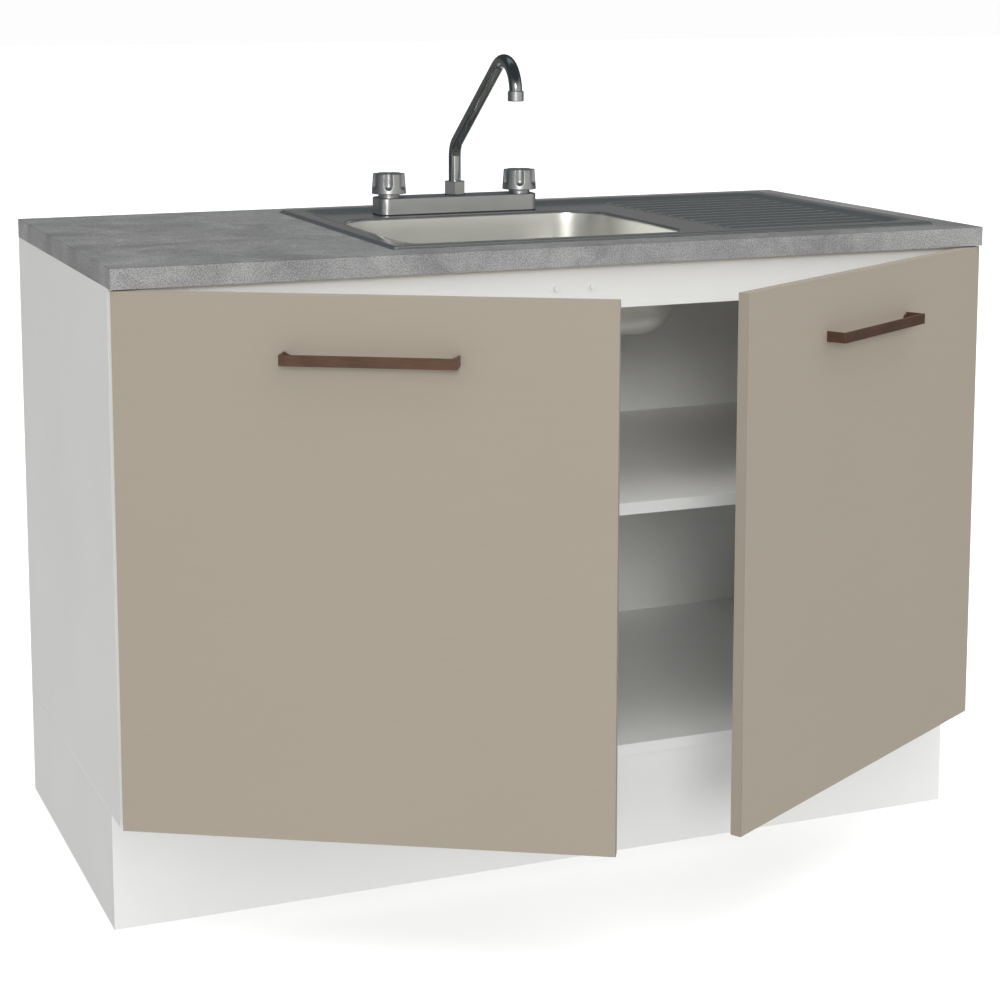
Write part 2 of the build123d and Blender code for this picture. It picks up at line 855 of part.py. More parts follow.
def slip_nut(length, bore, pipe):
    """Nut on the Z axis: its lip grips a pipe's collar against the spigot above."""
    nut = post(0, 0, -nut_lip, length - nut_lip, nut_radius)
    nut -= post(0, 0, -collar_thickness, length - nut_lip, bore + slip_clearance)
    nut -= post(0, 0, -nut_lip, 0, pipe + slip_clearance)
    circle = nut_radius + nut_groove_outset
    for index in range(nut_groove_count):
        angle = 2 * pi * index / nut_groove_count
        nut -= post(circle * cos(angle), circle * sin(angle), -nut_lip, length - nut_lip,
                    nut_groove_radius)
    return nut


outlet_seat_y = bowl_centre_y + bottle_radius + outlet_spigot_reach


def trap_nuts():
    inlet = Pos(bowl_centre_x, bowl_centre_y, spigot_bottom_z) * slip_nut(
        nut_length, spigot_radius, pipe_radius)
    outlet = Pos(bowl_centre_x, outlet_seat_y, trap_outlet_z) * Rot(90, 0, 0) * slip_nut(
        nut_length, spigot_radius, outlet_radius)
    return group([inlet, outlet])


def trap_body():
    """Bottle of the trap: closed top with a neck, open bottom, side spigot."""
    x = bowl_centre_x
    y = bowl_centre_y
    body = at_waste(bottle_bottom_z, bottle_top_z, bottle_radius)
    neck_top = bottle_top_z + bottle_neck_height
    body += at_waste(bottle_top_z - bottle_wall, neck_top, pipe_radius + spigot_wall)
    body += rod_y(x, y, outlet_seat_y, trap_outlet_z, spigot_radius)
    body -= at_waste(bottle_bottom_z, bottle_top_z - bottle_wall, bottle_radius - bottle_wall)
    body -= rod_y(x, y, outlet_seat_y, trap_outlet_z, spigot_bore)
    return body - at_waste(bottle_bottom_z, neck_top, pipe_radius + slip_clearance)


def trap_cup():
    """Screw-off cup at the bottom of the trap."""
    outer = bottle_radius + trap_cup_wall
    top = trap_cup_bottom_z + trap_cup_height
    cup = at_waste(trap_cup_bottom_z, top, outer)
    cup -= at_waste(bottle_bottom_z, top, bottle_radius + slip_clearance)
    return cup - at_waste(trap_cup_bottom_z + trap_cup_floor, bottle_bottom_z,
                          bottle_radius - bottle_wall)


def trap_outlet_pipe():
    """Pipe to the wall, with a stop bead for the socket that goes on its end."""
    x = bowl_centre_x
    pipe = rod_y(x, outlet_seat_y, outlet_end_y, trap_outlet_z, outlet_radius)
    bead_y = outlet_end_y - outlet_insert_length
    pipe += rod_y(x, bead_y - outlet_bead_width, bead_y, trap_outlet_z,
                  outlet_radius + outlet_bead_rise)
    pipe += rod_y(x, outlet_seat_y, outlet_seat_y + collar_thickness, trap_outlet_z, spigot_radius)
    return pipe - rod_y(x, outlet_seat_y, outlet_end_y, trap_outlet_z,
                        outlet_radius - outlet_wall)


# ---- Tap ----

def tap_post(x, z0, z1, radius):
    return post(x, tap_centre_y, z0, z1, radius)


def tap_body():
    """Cast bar with the two valve bores, the gallery and the spout's socket."""
    plan = RectangleRounded(tap_length, tap_width, tap_corner)
    body = Pos(tap_centre_x, tap_centre_y, tap_base_z) * extrude(plan, amount=tap_top_z - tap_base_z)
    body = fillet(body.faces().sort_by(Axis.Z)[-1].edges(), tap_top_round)
    gallery_z = tap_top_z - spout_socket_depth + gallery_radius
    left, right = tap_hole_places()
    body -= rod_x(left, right, tap_centre_y, gallery_z, gallery_radius)
    for x in (left, right):
        body -= tap_post(x, tap_top_z - valve_body_depth, tap_top_z,
                         valve_bore_radius + running_clearance)
        body -= tap_post(x, tap_base_z, tap_top_z - valve_body_depth, tail_bore)
        body -= tap_post(x, tap_base_z, tap_base_z + tail_bite, tail_radius + running_clearance)
    return body - tap_post(tap_centre_x, spout_bottom_z, tap_top_z,
                           spout_radius + running_clearance)


def tap_gasket():
    """Rubber under the body and the washer under the spout's nut."""
    plan = RectangleRounded(tap_length, tap_width, tap_corner)
    base = Pos(tap_centre_x, tap_centre_y, deck_z) * extrude(plan, amount=tap_gasket_thickness)
    for x in tap_hole_places():
        base -= tap_post(x, deck_z, tap_base_z, tail_radius + running_clearance)
    washer = tap_post(tap_centre_x, tap_top_z, tap_top_z + spout_washer_thickness,
                      spout_washer_radius)
    washer -= tap_post(tap_centre_x, tap_top_z, tap_top_z + spout_washer_thickness,
                       spout_radius + joint_clearance)
    return group([base, washer])


def tap_tails():
    """Supply tails, with a relief above each one's free thread."""
    top = tap_base_z + tail_bite
    thread_top = top - tail_length + tail_thread_length
    relief_top = thread_top + tail_relief_length
    tails = []
    for x in tap_hole_places():
        tail = tube(x, tap_centre_y, top - tail_length, top, tail_radius, tail_bore)
        tails.append(tail - tube(x, tap_centre_y, thread_top, relief_top, tail_radius + cut_past,
                                 tail_radius - tail_relief_depth))
    return group(tails)


def tail_nuts():
    """Hexagon nuts that pull the tap down onto the deck."""
    nuts = []
    for x in tap_hole_places():
        face = RegularPolygon(tail_nut_radius, 6)
        nut = Pos(x, tap_centre_y, deck_under_z - tail_nut_height) * extrude(
            face, amount=tail_nut_height)
        nuts.append(nut - tap_post(x, deck_under_z - tail_nut_height, deck_under_z,
                                   tail_radius + running_clearance))
    return group(nuts)


def valve_cartridges():
    """Headwork in each valve bore, with the neck that its knob turns on."""
    pieces = []
    for x in tap_hole_places():
        lower = tap_post(x, tap_top_z - valve_body_depth, tap_top_z, valve_bore_radius)
        collar = tap_post(x, tap_top_z, valve_top_z, valve_collar_radius)
        neck = tap_post(x, valve_top_z, valve_top_z + valve_neck_height, valve_neck_radius)
        inlet = tap_post(x, tap_top_z - valve_body_depth, tap_top_z - valve_body_depth / 2,
                         tail_bore)
        port_z = tap_top_z - spout_socket_depth + gallery_radius
        port = rod_x(x - valve_bore_radius, x + valve_bore_radius, tap_centre_y, port_z,
                     port_radius)
        pieces.append(lower + collar + neck - inlet - port)
    return group(pieces)


def knob(x):
    """Tapered grip with flutes that end in a round bottom."""
    body = Pos(x, tap_centre_y, knob_bottom_z + knob_height / 2) * Cone(
        knob_bottom_radius, knob_top_radius, knob_height)
    round_z = knob_top_z - flute_length + flute_radius
    for index in range(flute_count):
        angle = radians(flute_phase + 360 * index / flute_count)
        flute_x = x + flute_circle * cos(angle)
        flute_y = tap_centre_y + flute_circle * sin(angle)
        body -= post(flute_x, flute_y, round_z, knob_top_z + cut_past, flute_radius)
        body -= Pos(flute_x, flute_y, round_z) * Sphere(flute_radius)
    body -= tap_post(x, knob_bottom_z, valve_top_z + valve_neck_height + knob_gap,
                     valve_neck_radius + running_clearance)
    return body - tap_post(x, knob_top_z - cap_thickness, knob_top_z, cap_radius)


def knob_cap(x):
    cap = tap_post(x, knob_top_z - cap_thickness, knob_top_z, cap_radius)
    return cap - tap_post(x, knob_top_z - cap_thickness / 2, knob_top_z, cap_dimple_radius)


def spout_nut():
    """Hexagon nut that keeps the spout in its socket."""
    bottom = tap_top_z + spout_washer_thickness
    face = RegularPolygon(spout_nut_radius, 6, rotation=flute_phase)
    nut = Pos(tap_centre_x, tap_centre_y, bottom) * extrude(face, amount=spout_nut_height)
    rounding = Pos(tap_centre_x, tap_centre_y, bottom + spout_nut_height / 2) * chamfer(
        Cylinder(spout_nut_radius, spout_nut_height).edges().filter_by(GeomType.CIRCLE), spout_nut_chamfer)
    nut &= rounding
    return nut - tap_post(tap_centre_x, bottom, bottom + spout_nut_height,
                          spout_radius + joint_clearance)


def spout_path():
    """Centre line: up from the socket, slanting forward, then over and down."""
    rise = radians(spout_rise_angle)
    hook_y = spout_tip_y + spout_hook_radius
    arc_y = hook_y + spout_hook_radius * sin(rise)
    arc_z = spout_corner_z + (tap_centre_y - arc_y) * tan(rise)
    hook_z = arc_z - spout_hook_radius * cos(rise)
    bend = spout_low_bend * tan(radians(90 - spout_rise_angle) / 2)
    x = tap_centre_x
    low = (x, tap_centre_y, spout_corner_z - bend)
    high = (x, tap_centre_y - bend * cos(rise), spout_corner_z + bend * sin(rise))
    start = Line((x, tap_centre_y, spout_bottom_z), low)
    corner = TangentArc(low, high, tangent=(0, 0, 1))
    slant = Line(high, (x, arc_y, arc_z))
    tip = (x, spout_tip_y, hook_z)
    hook = TangentArc((x, arc_y, arc_z), tip, tangent=(0, -cos(rise), sin(rise)))
    down = Line(tip, (x, spout_tip_y, hook_z - aerator_drop + insert_height + aerator_lip))
    return Wire([start.edge(), corner.edge(), slant.edge(), hook.edge(), down.edge()]), hook_z


def spout_tube():
    path, _ = spout_path()
    ring = Circle(spout_radius) - Circle(spout_radius - spout_wall)
    section = Pos(tap_centre_x, tap_centre_y, spout_bottom_z) * ring
    return sweep(section, path=path)


def aerator_floor_z():
    _, hook_z = spout_path()
    return hook_z - aerator_drop


def aerator():
    """Threaded cap at the spout's end."""
    x, y, z = tap_centre_x, spout_tip_y, aerator_floor_z()
    cap = post(x, y, z, z + aerator_height, aerator_radius)
    cap = chamfer(cap.edges().filter_by(GeomType.CIRCLE), aerator_chamfer)
    cap -= post(x, y, z + aerator_lip, z + aerator_height, spout_radius + slip_clearance)
    return cap - post(x, y, z, z + aerator_lip, spout_radius - spout_wall)


def aerator_insert():
    x, y = tap_centre_x, spout_tip_y
    z = aerator_floor_z() + aerator_lip
    disc = post(x, y, z, z + insert_height, spout_radius)
    for index in range(insert_hole_count):
        angle = 2 * pi * index / insert_hole_count
        disc -= post(x + insert_hole_circle * cos(angle), y + insert_hole_circle * sin(angle),
                     z, z + insert_height, insert_hole_radius)
    return disc


# ---- Doors, drawn closed on the left; the right one is their mirror image ----

def handle_screw_places():
    start = door_edge_x + handle_start
    z = door_top_z - handle_below_top
    return [(start + handle_screw_inset, z), (start + handle_length - handle_screw_inset, z)]


def door_panel():
    panel = block(door_edge_x, door_free_x, door_front_y, door_back_y, door_bottom_z, door_top_z)
    for z in hinge_heights:
        panel -= rod_y(cup_x, door_back_y - cup_depth, door_back_y, z,
                       cup_radius + cup_hole_clearance)
        for offset in (-wing_screw_offset, wing_screw_offset):
            panel -= rod_y(cup_x, door_back_y - door_screw_length - joint_clearance, door_back_y,
                           z + offset, screw_radius + screw_clearance)
    for x, z in handle_screw_places():
        panel -= rod_y(x, door_front_y, door_back_y, z, handle_screw_radius + joint_clearance)
    return panel


def handle():
    """Flat strip bent into a bar, two legs and two feet against the door."""
    x0 = door_edge_x + handle_start
    x1 = x0 + handle_length
    z = door_top_z - handle_below_top
    half = handle_height / 2
    bar_y = door_front_y - handle_projection
    bar = block(x0, x1, bar_y, bar_y + handle_strip, z - half, z + half)
    legs = block(x0, x0 + handle_strip, bar_y, door_front_y, z - half, z + half)
    legs += block(x1 - handle_strip, x1, bar_y, door_front_y, z - half, z + half)
    tip = half - handle_foot_chamfer
    outline = Polyline((0, -half), (handle_foot, -tip), (handle_foot, tip), (0, half), close=True)
    foot = extrude(Plane.XZ * make_face(outline), amount=handle_strip)
    left_foot = Pos(x0, door_front_y, z) * foot
    right_foot = Pos(x1, door_front_y, z) * mirror(foot, about=Plane.YZ)
    grip = bar + legs + left_foot + right_foot
    corners = [edge for edge in grip.edges().filter_by(Axis.Z)
               if abs(edge.center().Y - bar_y) < 0.01]
    grip = fillet(corners, handle_bend)
    for x, hole_z in handle_screw_places():
        grip -= rod_y(x, door_front_y - handle_strip, door_front_y, hole_z,
                      handle_screw_radius + screw_clearance)
    return grip


def door_screws():
    """Handle screws through the door and the short screws of the hinge cups."""
    screws = []
    head_end = door_back_y + handle_screw_head_height
    for x, z in handle_screw_places():
        shank = rod_y(x, door_front_y - handle_strip, door_back_y, z, handle_screw_radius)
        screws.append(shank + rod_y(x, door_back_y, head_end, z, handle_screw_head_radius))
    seat = door_back_y + wing_thickness
    for hinge_z in hinge_heights:
        for offset in (-wing_screw_offset, wing_screw_offset):
            z = hinge_z + offset
            shank = rod_y(cup_x, door_back_y - door_screw_length, seat, z, screw_radius)
            head = rod_y(cup_x, seat, seat + screw_head_height / 2, z, screw_head_radius)
            screws.append(shank + head)
    return group(screws)


def hinge_cup(z):
    """Cup let into the door, with two ears that turn on the pin."""
    floor_y = door_back_y - cup_depth
    cup = rod_y(cup_x, floor_y, door_back_y, z, cup_radius)
    cup -= rod_y(cup_x, floor_y + cup_wall, door_back_y, z, cup_radius - cup_wall)
    for side in (-1, 1):
        near, far = sorted((z + side * ear_near, z + side * ear_far))
        cup += block(pin_x - ear_half_width, pin_x + ear_half_width, floor_y + cup_wall / 2,
                     floor_y + cup_wall + ear_rise, near, far)
        start, end = sorted((z + side * wing_start, z + side * wing_end))
        cup += block(cup_x - wing_half_width, cup_x + wing_half_width, door_back_y,
                     door_back_y + wing_thickness, start, end)
        cup -= rod_y(cup_x, door_back_y, door_back_y + wing_thickness,
                     z + side * wing_screw_offset, screw_radius + screw_clearance)
    return cup - post(pin_x, pin_y, z - ear_far, z + ear_far, pin_radius + running_clearance)


# ---- Hinge parts on the cabinet ----

def hinge_arm(z):
    """Bent arm from the pin to the mounting plate."""
    arm_x = pin_x + arm_reach
    low = z - arm_half_height
    high = z + arm_half_height
    t = arm_half_thickness
    arm = block(pin_x, arm_x + t, pin_y - t, pin_y + t, low, high)
    arm += block(arm_x - t, arm_x + t, pin_y - t, carcass_front_y + plate_far, low, high)
    arm += post(pin_x, pin_y, low, high, arm_eye_radius)
    return arm - post(pin_x, pin_y, low, high, pin_radius + running_clearance / 2)


def hinge_plate(z):
    """Mounting plate on the side panel's inner face."""
    y0 = carcass_front_y + plate_near
    y1 = carcass_front_y + plate_far
    arm_side_x = pin_x + arm_reach - arm_half_thickness
    plate = block(inner_left_x, arm_side_x, y0, y1, z - plate_half_height, z + plate_half_height)
    plate += block(inner_left_x, inner_left_x + plate_wing_thickness, y0, y1,
                   z - plate_wing_half_height, z + plate_wing_half_height)
    for place in side_screw_places():
        plate -= side_screw(place, screw_clearance)
    return plate


def hinge_pin(z):
    return post(pin_x, pin_y, z - ear_far, z + ear_far, pin_radius)


def door_bumpers():
    end_y = door_back_y + bumper_clearance
    heights = (plinth_height + board / 2, carcass_top_z - front_rail_height / 2)
    return both_halves([rod_y(-bumper_offset, end_y, carcass_front_y, z, bumper_radius)
                        for z in heights])


def door_set(side, place):
    """The five nodes that move with one door."""
    return {
        side + "_door_panel": place(door_panel()),
        side + "_handle": place(handle()),
        side + "_door_screws": place(door_screws()),
        side + "_hinge_cups": place(group([hinge_cup(z) for z in hinge_heights])),
    }


def build():
    """Every node of the unit, by name."""
    hot_x, cold_x = tap_hole_places()
    side = left_side_panel()
    nodes = {
        "left_side_panel": side,
        "right_side_panel": to_right(side),
        "bottom_panel": between_sides(carcass_front_y, back_panel_y, plinth_height, floor_top_z),
        "front_rail": between_sides(carcass_front_y, front_rail_back_y, front_rail_z,
                                    carcass_top_z),
        "back_rail": between_sides(back_rail_y, back_panel_y, back_rail_z, carcass_top_z),
        "back_panel": back_panel(),
        "shelf": shelf(),
        "shelf_pins": both_halves([shelf_pin(y) for y in shelf_pin_places()]),
        "cam_locks": both_halves([cam_lock(place) for place in cam_places()]),
        "cam_bolts": both_halves([cam_bolt(place, 0.0) for place in cam_places()]),
        "dowels": both_halves([dowel(place, 0.0) for place in dowel_places()]),
        "worktop_core": worktop_core(),
        "worktop_laminate": worktop_laminate(),
        "worktop_edging": worktop_edging(),
        "worktop_brackets": both_halves([worktop_bracket(y) for y in bracket_places()]),
        "chipboard_screws": both_halves(
            [side_screw(place) for place in side_screw_places()]
            + [top_screw(place) for place in top_screw_places()]),
        "sink_deck": sink_deck(),
        "sink_bowl": sink_bowl(),
        "sink_seal": sink_seal(),
        "sink_clips": sink_clips(),
        "waste_flange": waste_flange(),
        "waste_gasket": waste_gasket(),
        "waste_body": waste_body(),
        "waste_screw": waste_screw(),
        "strainer_basket": strainer_basket(),
        "trap_inlet_pipe": trap_inlet_pipe(),
        "trap_nuts": trap_nuts(),
        "trap_body": trap_body(),
        "trap_cup": trap_cup(),
        "trap_outlet_pipe": trap_outlet_pipe(),
        "tap_body": tap_body(),
        "tap_gaskets": tap_gasket(),
        "tap_tails": tap_tails(),
        "tail_nuts": tail_nuts(),
        "valve_cartridges": valve_cartridges(),
        "hot_knob": knob(hot_x),
        "cold_knob": knob(cold_x),
        "hot_cap": knob_cap(hot_x),
        "cold_cap": knob_cap(cold_x),
        "spout_nut": spout_nut(),
        "spout_tube": spout_tube(),
        "aerator": aerator(),
        "aerator_insert": aerator_insert(),
        "hinge_arms": both_halves([hinge_arm(z) for z in hinge_heights]),
        "hinge_plates": both_halves([hinge_plate(z) for z in hinge_heights]),
        "hinge_pins": both_halves([hinge_pin(z) for z in hinge_heights]),
        "door_bumpers": door_bumpers(),
    }
    nodes.update(plinth())
    nodes.update(door_set("left", opened))
    nodes.update(door_set("right", lambda shape: to_right(opened(shape))))
    return nodes


os.makedirs("parts", exist_ok=True)
for name, shape in build().items():
    export_step(shape, "parts/" + name + ".step")
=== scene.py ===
"""A kitchen sink unit: concrete-look worktop, inset steel sink and a two-knob mixer tap."""
import math

import bmesh
import bpy
from bpy.props import FloatProperty, FloatVectorProperty, IntProperty, PointerProperty
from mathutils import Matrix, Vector
from mathutils.geometry import delaunay_2d_cdt


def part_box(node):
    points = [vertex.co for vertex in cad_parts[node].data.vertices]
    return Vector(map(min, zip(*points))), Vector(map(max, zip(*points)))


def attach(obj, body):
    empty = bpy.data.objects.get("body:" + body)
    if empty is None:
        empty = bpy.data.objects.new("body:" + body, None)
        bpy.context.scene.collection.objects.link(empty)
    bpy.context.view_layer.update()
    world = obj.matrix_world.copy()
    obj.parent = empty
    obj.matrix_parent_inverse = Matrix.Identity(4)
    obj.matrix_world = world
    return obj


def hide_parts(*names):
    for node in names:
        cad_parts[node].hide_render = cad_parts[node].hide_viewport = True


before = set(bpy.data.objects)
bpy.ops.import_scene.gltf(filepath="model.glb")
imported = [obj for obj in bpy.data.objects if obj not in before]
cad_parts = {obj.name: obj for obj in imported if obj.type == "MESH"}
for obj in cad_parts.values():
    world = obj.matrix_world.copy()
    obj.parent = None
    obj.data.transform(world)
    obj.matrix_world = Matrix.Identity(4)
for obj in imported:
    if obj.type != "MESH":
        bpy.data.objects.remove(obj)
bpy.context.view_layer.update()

bl_info = {
    "name": "Kitchen sink unit",
    "version": (1, 0, 0),
    "blender": (4, 5, 0),
    "location": "3D View > Sidebar > Sink unit",
    "description": "Dresses the packed kitchen sink unit with eased forms, finishes and studio",
    "category": "Object",
}

MM = 0.001


def linear(colour):
    """The linear colour, with its alpha, of an sRGB hex value."""
    parts = [int(colour[i:i + 2], 16) / 255 for i in (1, 3, 5)]
    straight = [c / 12.92 if c <= 0.04045 else ((c + 0.055) / 1.055) ** 2.4 for c in parts]
    return (*straight, 1.0)


def per_metre(size):
    """How many times a pattern of this size in millimetres repeats in a metre."""
    return 1 / (size * MM)


def middle(node):
    """The middle of a CAD node's box."""
    low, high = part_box(node)
    return (low + high) / 2


# ------------------------------------------------------------------ sizes and colours

def size_setting(name, description, default, low, high):
    """A size that is given in millimetres and kept in metres."""
    return FloatProperty(name=name, description=description, default=default * MM, min=low * MM,
                         max=high * MM, subtype="DISTANCE", unit="LENGTH")


def colour_setting(name, description, default):
    """A colour that is given as an sRGB hex value and kept linear."""
    return FloatVectorProperty(name=name, description=description, default=linear(default),
                               size=4, min=0, max=1, subtype="COLOR")


def light_setting(name, description, default):
    """The strength of a light."""
    return FloatProperty(name=name, description=description, default=default, min=0, max=10)


class BoardSettings(bpy.types.PropertyGroup):
    """The white boards of the cabinet and its plinth."""
    edge_ease: size_setting(
        "Board edge", "Width of the eased edge left by the edge trimmer", 0.4, 0.05, 2)
    white: colour_setting("Board white", "Colour of the melamine face", "#F6F6F4")


class WorktopSettings(bpy.types.PropertyGroup):
    """The worktop."""
    edge_ease: size_setting(
        "Worktop edge", "Width of the eased edge of laminate and edging", 0.25, 0.05, 1)
    top_grey: colour_setting("Top grey", "Middle grey of the print on the top", "#808080")
    edge_grey: colour_setting("Edge grey", "Middle grey of the printed edging", "#9D9D9D")


class DoorSettings(bpy.types.PropertyGroup):
    """The two doors and their handles."""
    edge_ease: size_setting("Door edge", "Width of the eased edge of a door", 0.6, 0.05, 3)
    handle_ease: size_setting(
        "Handle edge", "Width of the eased edge of a handle's strip", 0.4, 0.05, 1)
    door_colour: colour_setting("Door colour", "Warm grey-beige of the door's face", "#AEA495")
    back_paper: colour_setting("Back paper", "White of the paper on the door's back", "#E9E9E7")
    handle_colour: colour_setting("Handle colour", "Brown of the handle's coat", "#6B5041")


class SinkSettings(bpy.types.PropertyGroup):
    """The pressed steel sink with its bowl, drainer, waste and basket."""
    sheet: size_setting("Sheet", "Thickness of the steel sheet", 0.8, 0.3, 2)
    rib_count: IntProperty(
        name="Ribs", description="Ribs across the drainer", default=13, min=1, max=40)
    rib_spacing: size_setting(
        "Rib spacing", "Distance from one rib's middle to the next", 33, 5, 80)
    rib_height: size_setting("Rib height", "How far a rib stands above the drainer", 1.6, 0.5, 6)
    rib_half_width: size_setting("Rib half width", "Half the width of a rib at its foot", 9, 1, 20)
    steel: colour_setting("Steel", "Colour of the sheet steel", "#C8C8C4")
    bowl_steel: colour_setting(
        "Bowl steel", "Colour of the bowl's drawn and blasted steel", "#E8E7E1")


class TapSettings(bpy.types.PropertyGroup):
    """The mixer tap."""
    tube_radius: size_setting("Tube radius", "Radius of the spout's tube", 8.9, 3, 20)
    low_bend: size_setting(
        "Low bend", "Radius of the bend where the spout leans forward", 30, 10, 60)
    hook: size_setting("Hook", "Radius of the hook at the spout's end", 41.4, 20, 80)
    rise: FloatProperty(name="Rise", description="Angle at which the spout rises to its hook",
                        default=math.radians(36.2), min=0, max=math.radians(80), subtype="ANGLE")
    flutes: IntProperty(
        name="Flutes", description="Finger flutes round a knob", default=6, min=3, max=12)
    edge_ease: size_setting(
        "Tap edge", "Width of the polished edge of the body, the nut and the caps", 0.35, 0.05, 1)
    chrome: colour_setting("Chrome", "Colour of the chromed brass", "#D0D1D1")


class StageSettings(bpy.types.PropertyGroup):
    """The floor, the light and the camera."""
    key: light_setting("Front light", "Soft light from beside the camera", 0.85)
    top: light_setting("Top light", "Soft light from above", 1.3)
    front_sky: light_setting("Front sky", "The sky's band in front and on the right", 1.15)
    left_sky: light_setting("Left sky", "The sky's band on the left", 0.7)
    thin_sky: light_setting("Thin sky", "The sky below and above its band", 0.35)
    ground: light_setting("Ground", "What the pale floor throws back up", 0.6)
    lens: FloatProperty(name="Lens", description="Focal length on a 36 mm frame, in millimetres",
                        default=80.28, min=20, max=300)


class SinkUnitSettings(bpy.types.PropertyGroup):
    """All the settings of the sink unit."""
    boards: PointerProperty(type=BoardSettings)
    worktop: PointerProperty(type=WorktopSettings)
    doors: PointerProperty(type=DoorSettings)
    sink: PointerProperty(type=SinkSettings)
    tap: PointerProperty(type=TapSettings)
    stage: PointerProperty(type=StageSettings)


# ------------------------------------------------------------------ nodes

def add(tree, kind, inputs=None, **settings):
    """Adds a node with its settings. Each input is given a value or what feeds it: a socket, or
    a node for its first output."""
    node = tree.nodes.new(kind)
    for key, value in settings.items():
        setattr(node, key, value)
    for key, value in (inputs or {}).items():
        if isinstance(value, bpy.types.Node):
            value = value.outputs[0]
        if isinstance(value, bpy.types.NodeSocket):
            tree.links.new(value, node.inputs[key])
        else:
            node.inputs[key].default_value = value
    return node


def start_finish(name):
    """A new material with a bare node tree and the place on the object in metres."""
    material = bpy.data.materials.new(name)
    material.use_nodes = True
    tree = material.node_tree
    tree.nodes.clear()
    place = add(tree, "ShaderNodeTexCoord").outputs["Object"]
    return material, tree, place


def end_finish(tree, shader_inputs):
    """Closes a material with its surface shader."""
    shader = add(tree, "ShaderNodeBsdfPrincipled", shader_inputs)
    add(tree, "ShaderNodeOutputMaterial", {"Surface": shader})


NOISE = "ShaderNodeTexNoise"
RANGE = "ShaderNodeMapRange"
MIX = "ShaderNodeMix"
MAPPING = "ShaderNodeMapping"
BUMP = "ShaderNodeBump"
MATHS = "ShaderNodeMath"
VORONOI = "ShaderNodeTexVoronoi"
VECTOR = "ShaderNodeVectorMath"
SPLIT = "ShaderNodeSeparateXYZ"
JOIN = "ShaderNodeCombineXYZ"
METRES = "NodeSocketFloat"
TINTED = {"data_type": "RGBA"}


def shade(colour, factor):
    """A colour made lighter or darker, with its alpha kept."""
    return tuple(min(1.0, c * factor) for c in colour[:3]) + (1.0,)


# ------------------------------------------------------------------ finishes

def melamine_white(colour):
    """Melamine-faced chipboard: resin paper pressed between steel plates, even and satin.

    The plates' pearl grain, 0.4 mm in the real board, is drawn at 2 mm so that it shows, as a
    soft break in the sheen; a slow drift of tone keeps a wide board from being one flat white."""
    material, tree, place = start_finish("melamine_white")
    grain = add(tree, NOISE, {"Vector": place, "Scale": per_metre(2), "Detail": 2.0})
    drift = add(tree, NOISE, {"Vector": place, "Scale": per_metre(285.71), "Detail": 3.0,
                              "Roughness": 0.6})
    tone = add(tree, RANGE, {"Value": drift, "From Min": 0.3, "From Max": 0.7})
    blend = add(tree, MIX, {0: tone, 6: shade(colour, 0.975), 7: shade(colour, 1.015)}, **TINTED)
    sheen = add(tree, RANGE, {"Value": grain, "To Min": 0.36, "To Max": 0.48})
    relief = add(tree, BUMP, {"Height": grain, "Strength": 0.12, "Distance": 0.1 * MM})
    end_finish(tree, {"Base Color": blend.outputs[2], "Roughness": sheen,
                      "Normal": relief, "IOR": 1.5})
    return material


def painted_hardboard(colour):
    """Hardboard rolled with white paint: the felted fibres under the paint give a soft mottle
    and a duller sheen than the boards' melamine. The fibres, 0.1 mm, are drawn at 1.5 mm."""
    material, tree, place = start_finish("hardboard_painted_white")
    stretched = add(tree, MAPPING, {"Vector": place, "Scale": (1.0, 1.0, 2.2)})
    fibre = add(tree, NOISE, {"Vector": stretched, "Scale": per_metre(1.5385), "Detail": 3.0})
    mottle = add(tree, NOISE, {"Vector": place, "Scale": per_metre(111.11), "Detail": 4.0,
                               "Roughness": 0.65})
    blend = add(tree, MIX, {0: mottle, 6: shade(colour, 0.93), 7: shade(colour, 1.02)}, **TINTED)
    relief = add(tree, BUMP, {"Height": fibre, "Strength": 0.3, "Distance": 0.15 * MM})
    end_finish(tree, {"Base Color": blend.outputs[2], "Roughness": 0.6, "Normal": relief,
                      "IOR": 1.5})
    return material


def door_lacquer(colour, paper):
    """Satin beige foil pressed over the front and edges of a fibreboard: a fine brush along the
    foil gives faint level streaks 0.5 mm wide, drawn 2 to 3 mm wide and up to 200 mm long, and
    a soft satin sheen. The door's back is faced with white paper, which keeps the board flat."""
    material, tree, place = start_finish("door_foil_beige")
    level = add(tree, MAPPING, {"Vector": place, "Scale": (0.02, 0.02, 1.0)})
    streak = add(tree, NOISE, {"Vector": level, "Scale": per_metre(2.8571), "Detail": 3.0,
                               "Roughness": 0.6})
    drift = add(tree, NOISE, {"Vector": place, "Scale": per_metre(250), "Detail": 3.0})
    both = add(tree, MIX, {0: 0.35, 2: streak, 3: drift})
    tone = add(tree, RANGE, {"Value": both, "From Min": 0.35, "From Max": 0.65})
    blend = add(tree, MIX, {0: tone, 6: shade(colour, 0.986), 7: shade(colour, 1.012)}, **TINTED)
    # At rest both doors stand 30 degrees open, so only their backs turn this far to the rear.
    turned = add(tree, SPLIT, {0: add(tree, "ShaderNodeTexCoord").outputs["Normal"]})
    is_back = add(tree, MATHS, {0: turned.outputs[1], 1: 0.7}, operation="GREATER_THAN")
    faced = add(tree, MIX, {0: is_back, 6: blend.outputs[2], 7: paper}, **TINTED)
    fine = add(tree, NOISE, {"Vector": place, "Scale": per_metre(1.4286), "Detail": 2.0})
    relief = add(tree, BUMP, {"Height": fine, "Strength": 0.15, "Distance": 0.1 * MM})
    end_finish(tree, {"Base Color": faced.outputs[2], "Roughness": 0.5, "Normal": relief,
                      "IOR": 1.48})
    return material


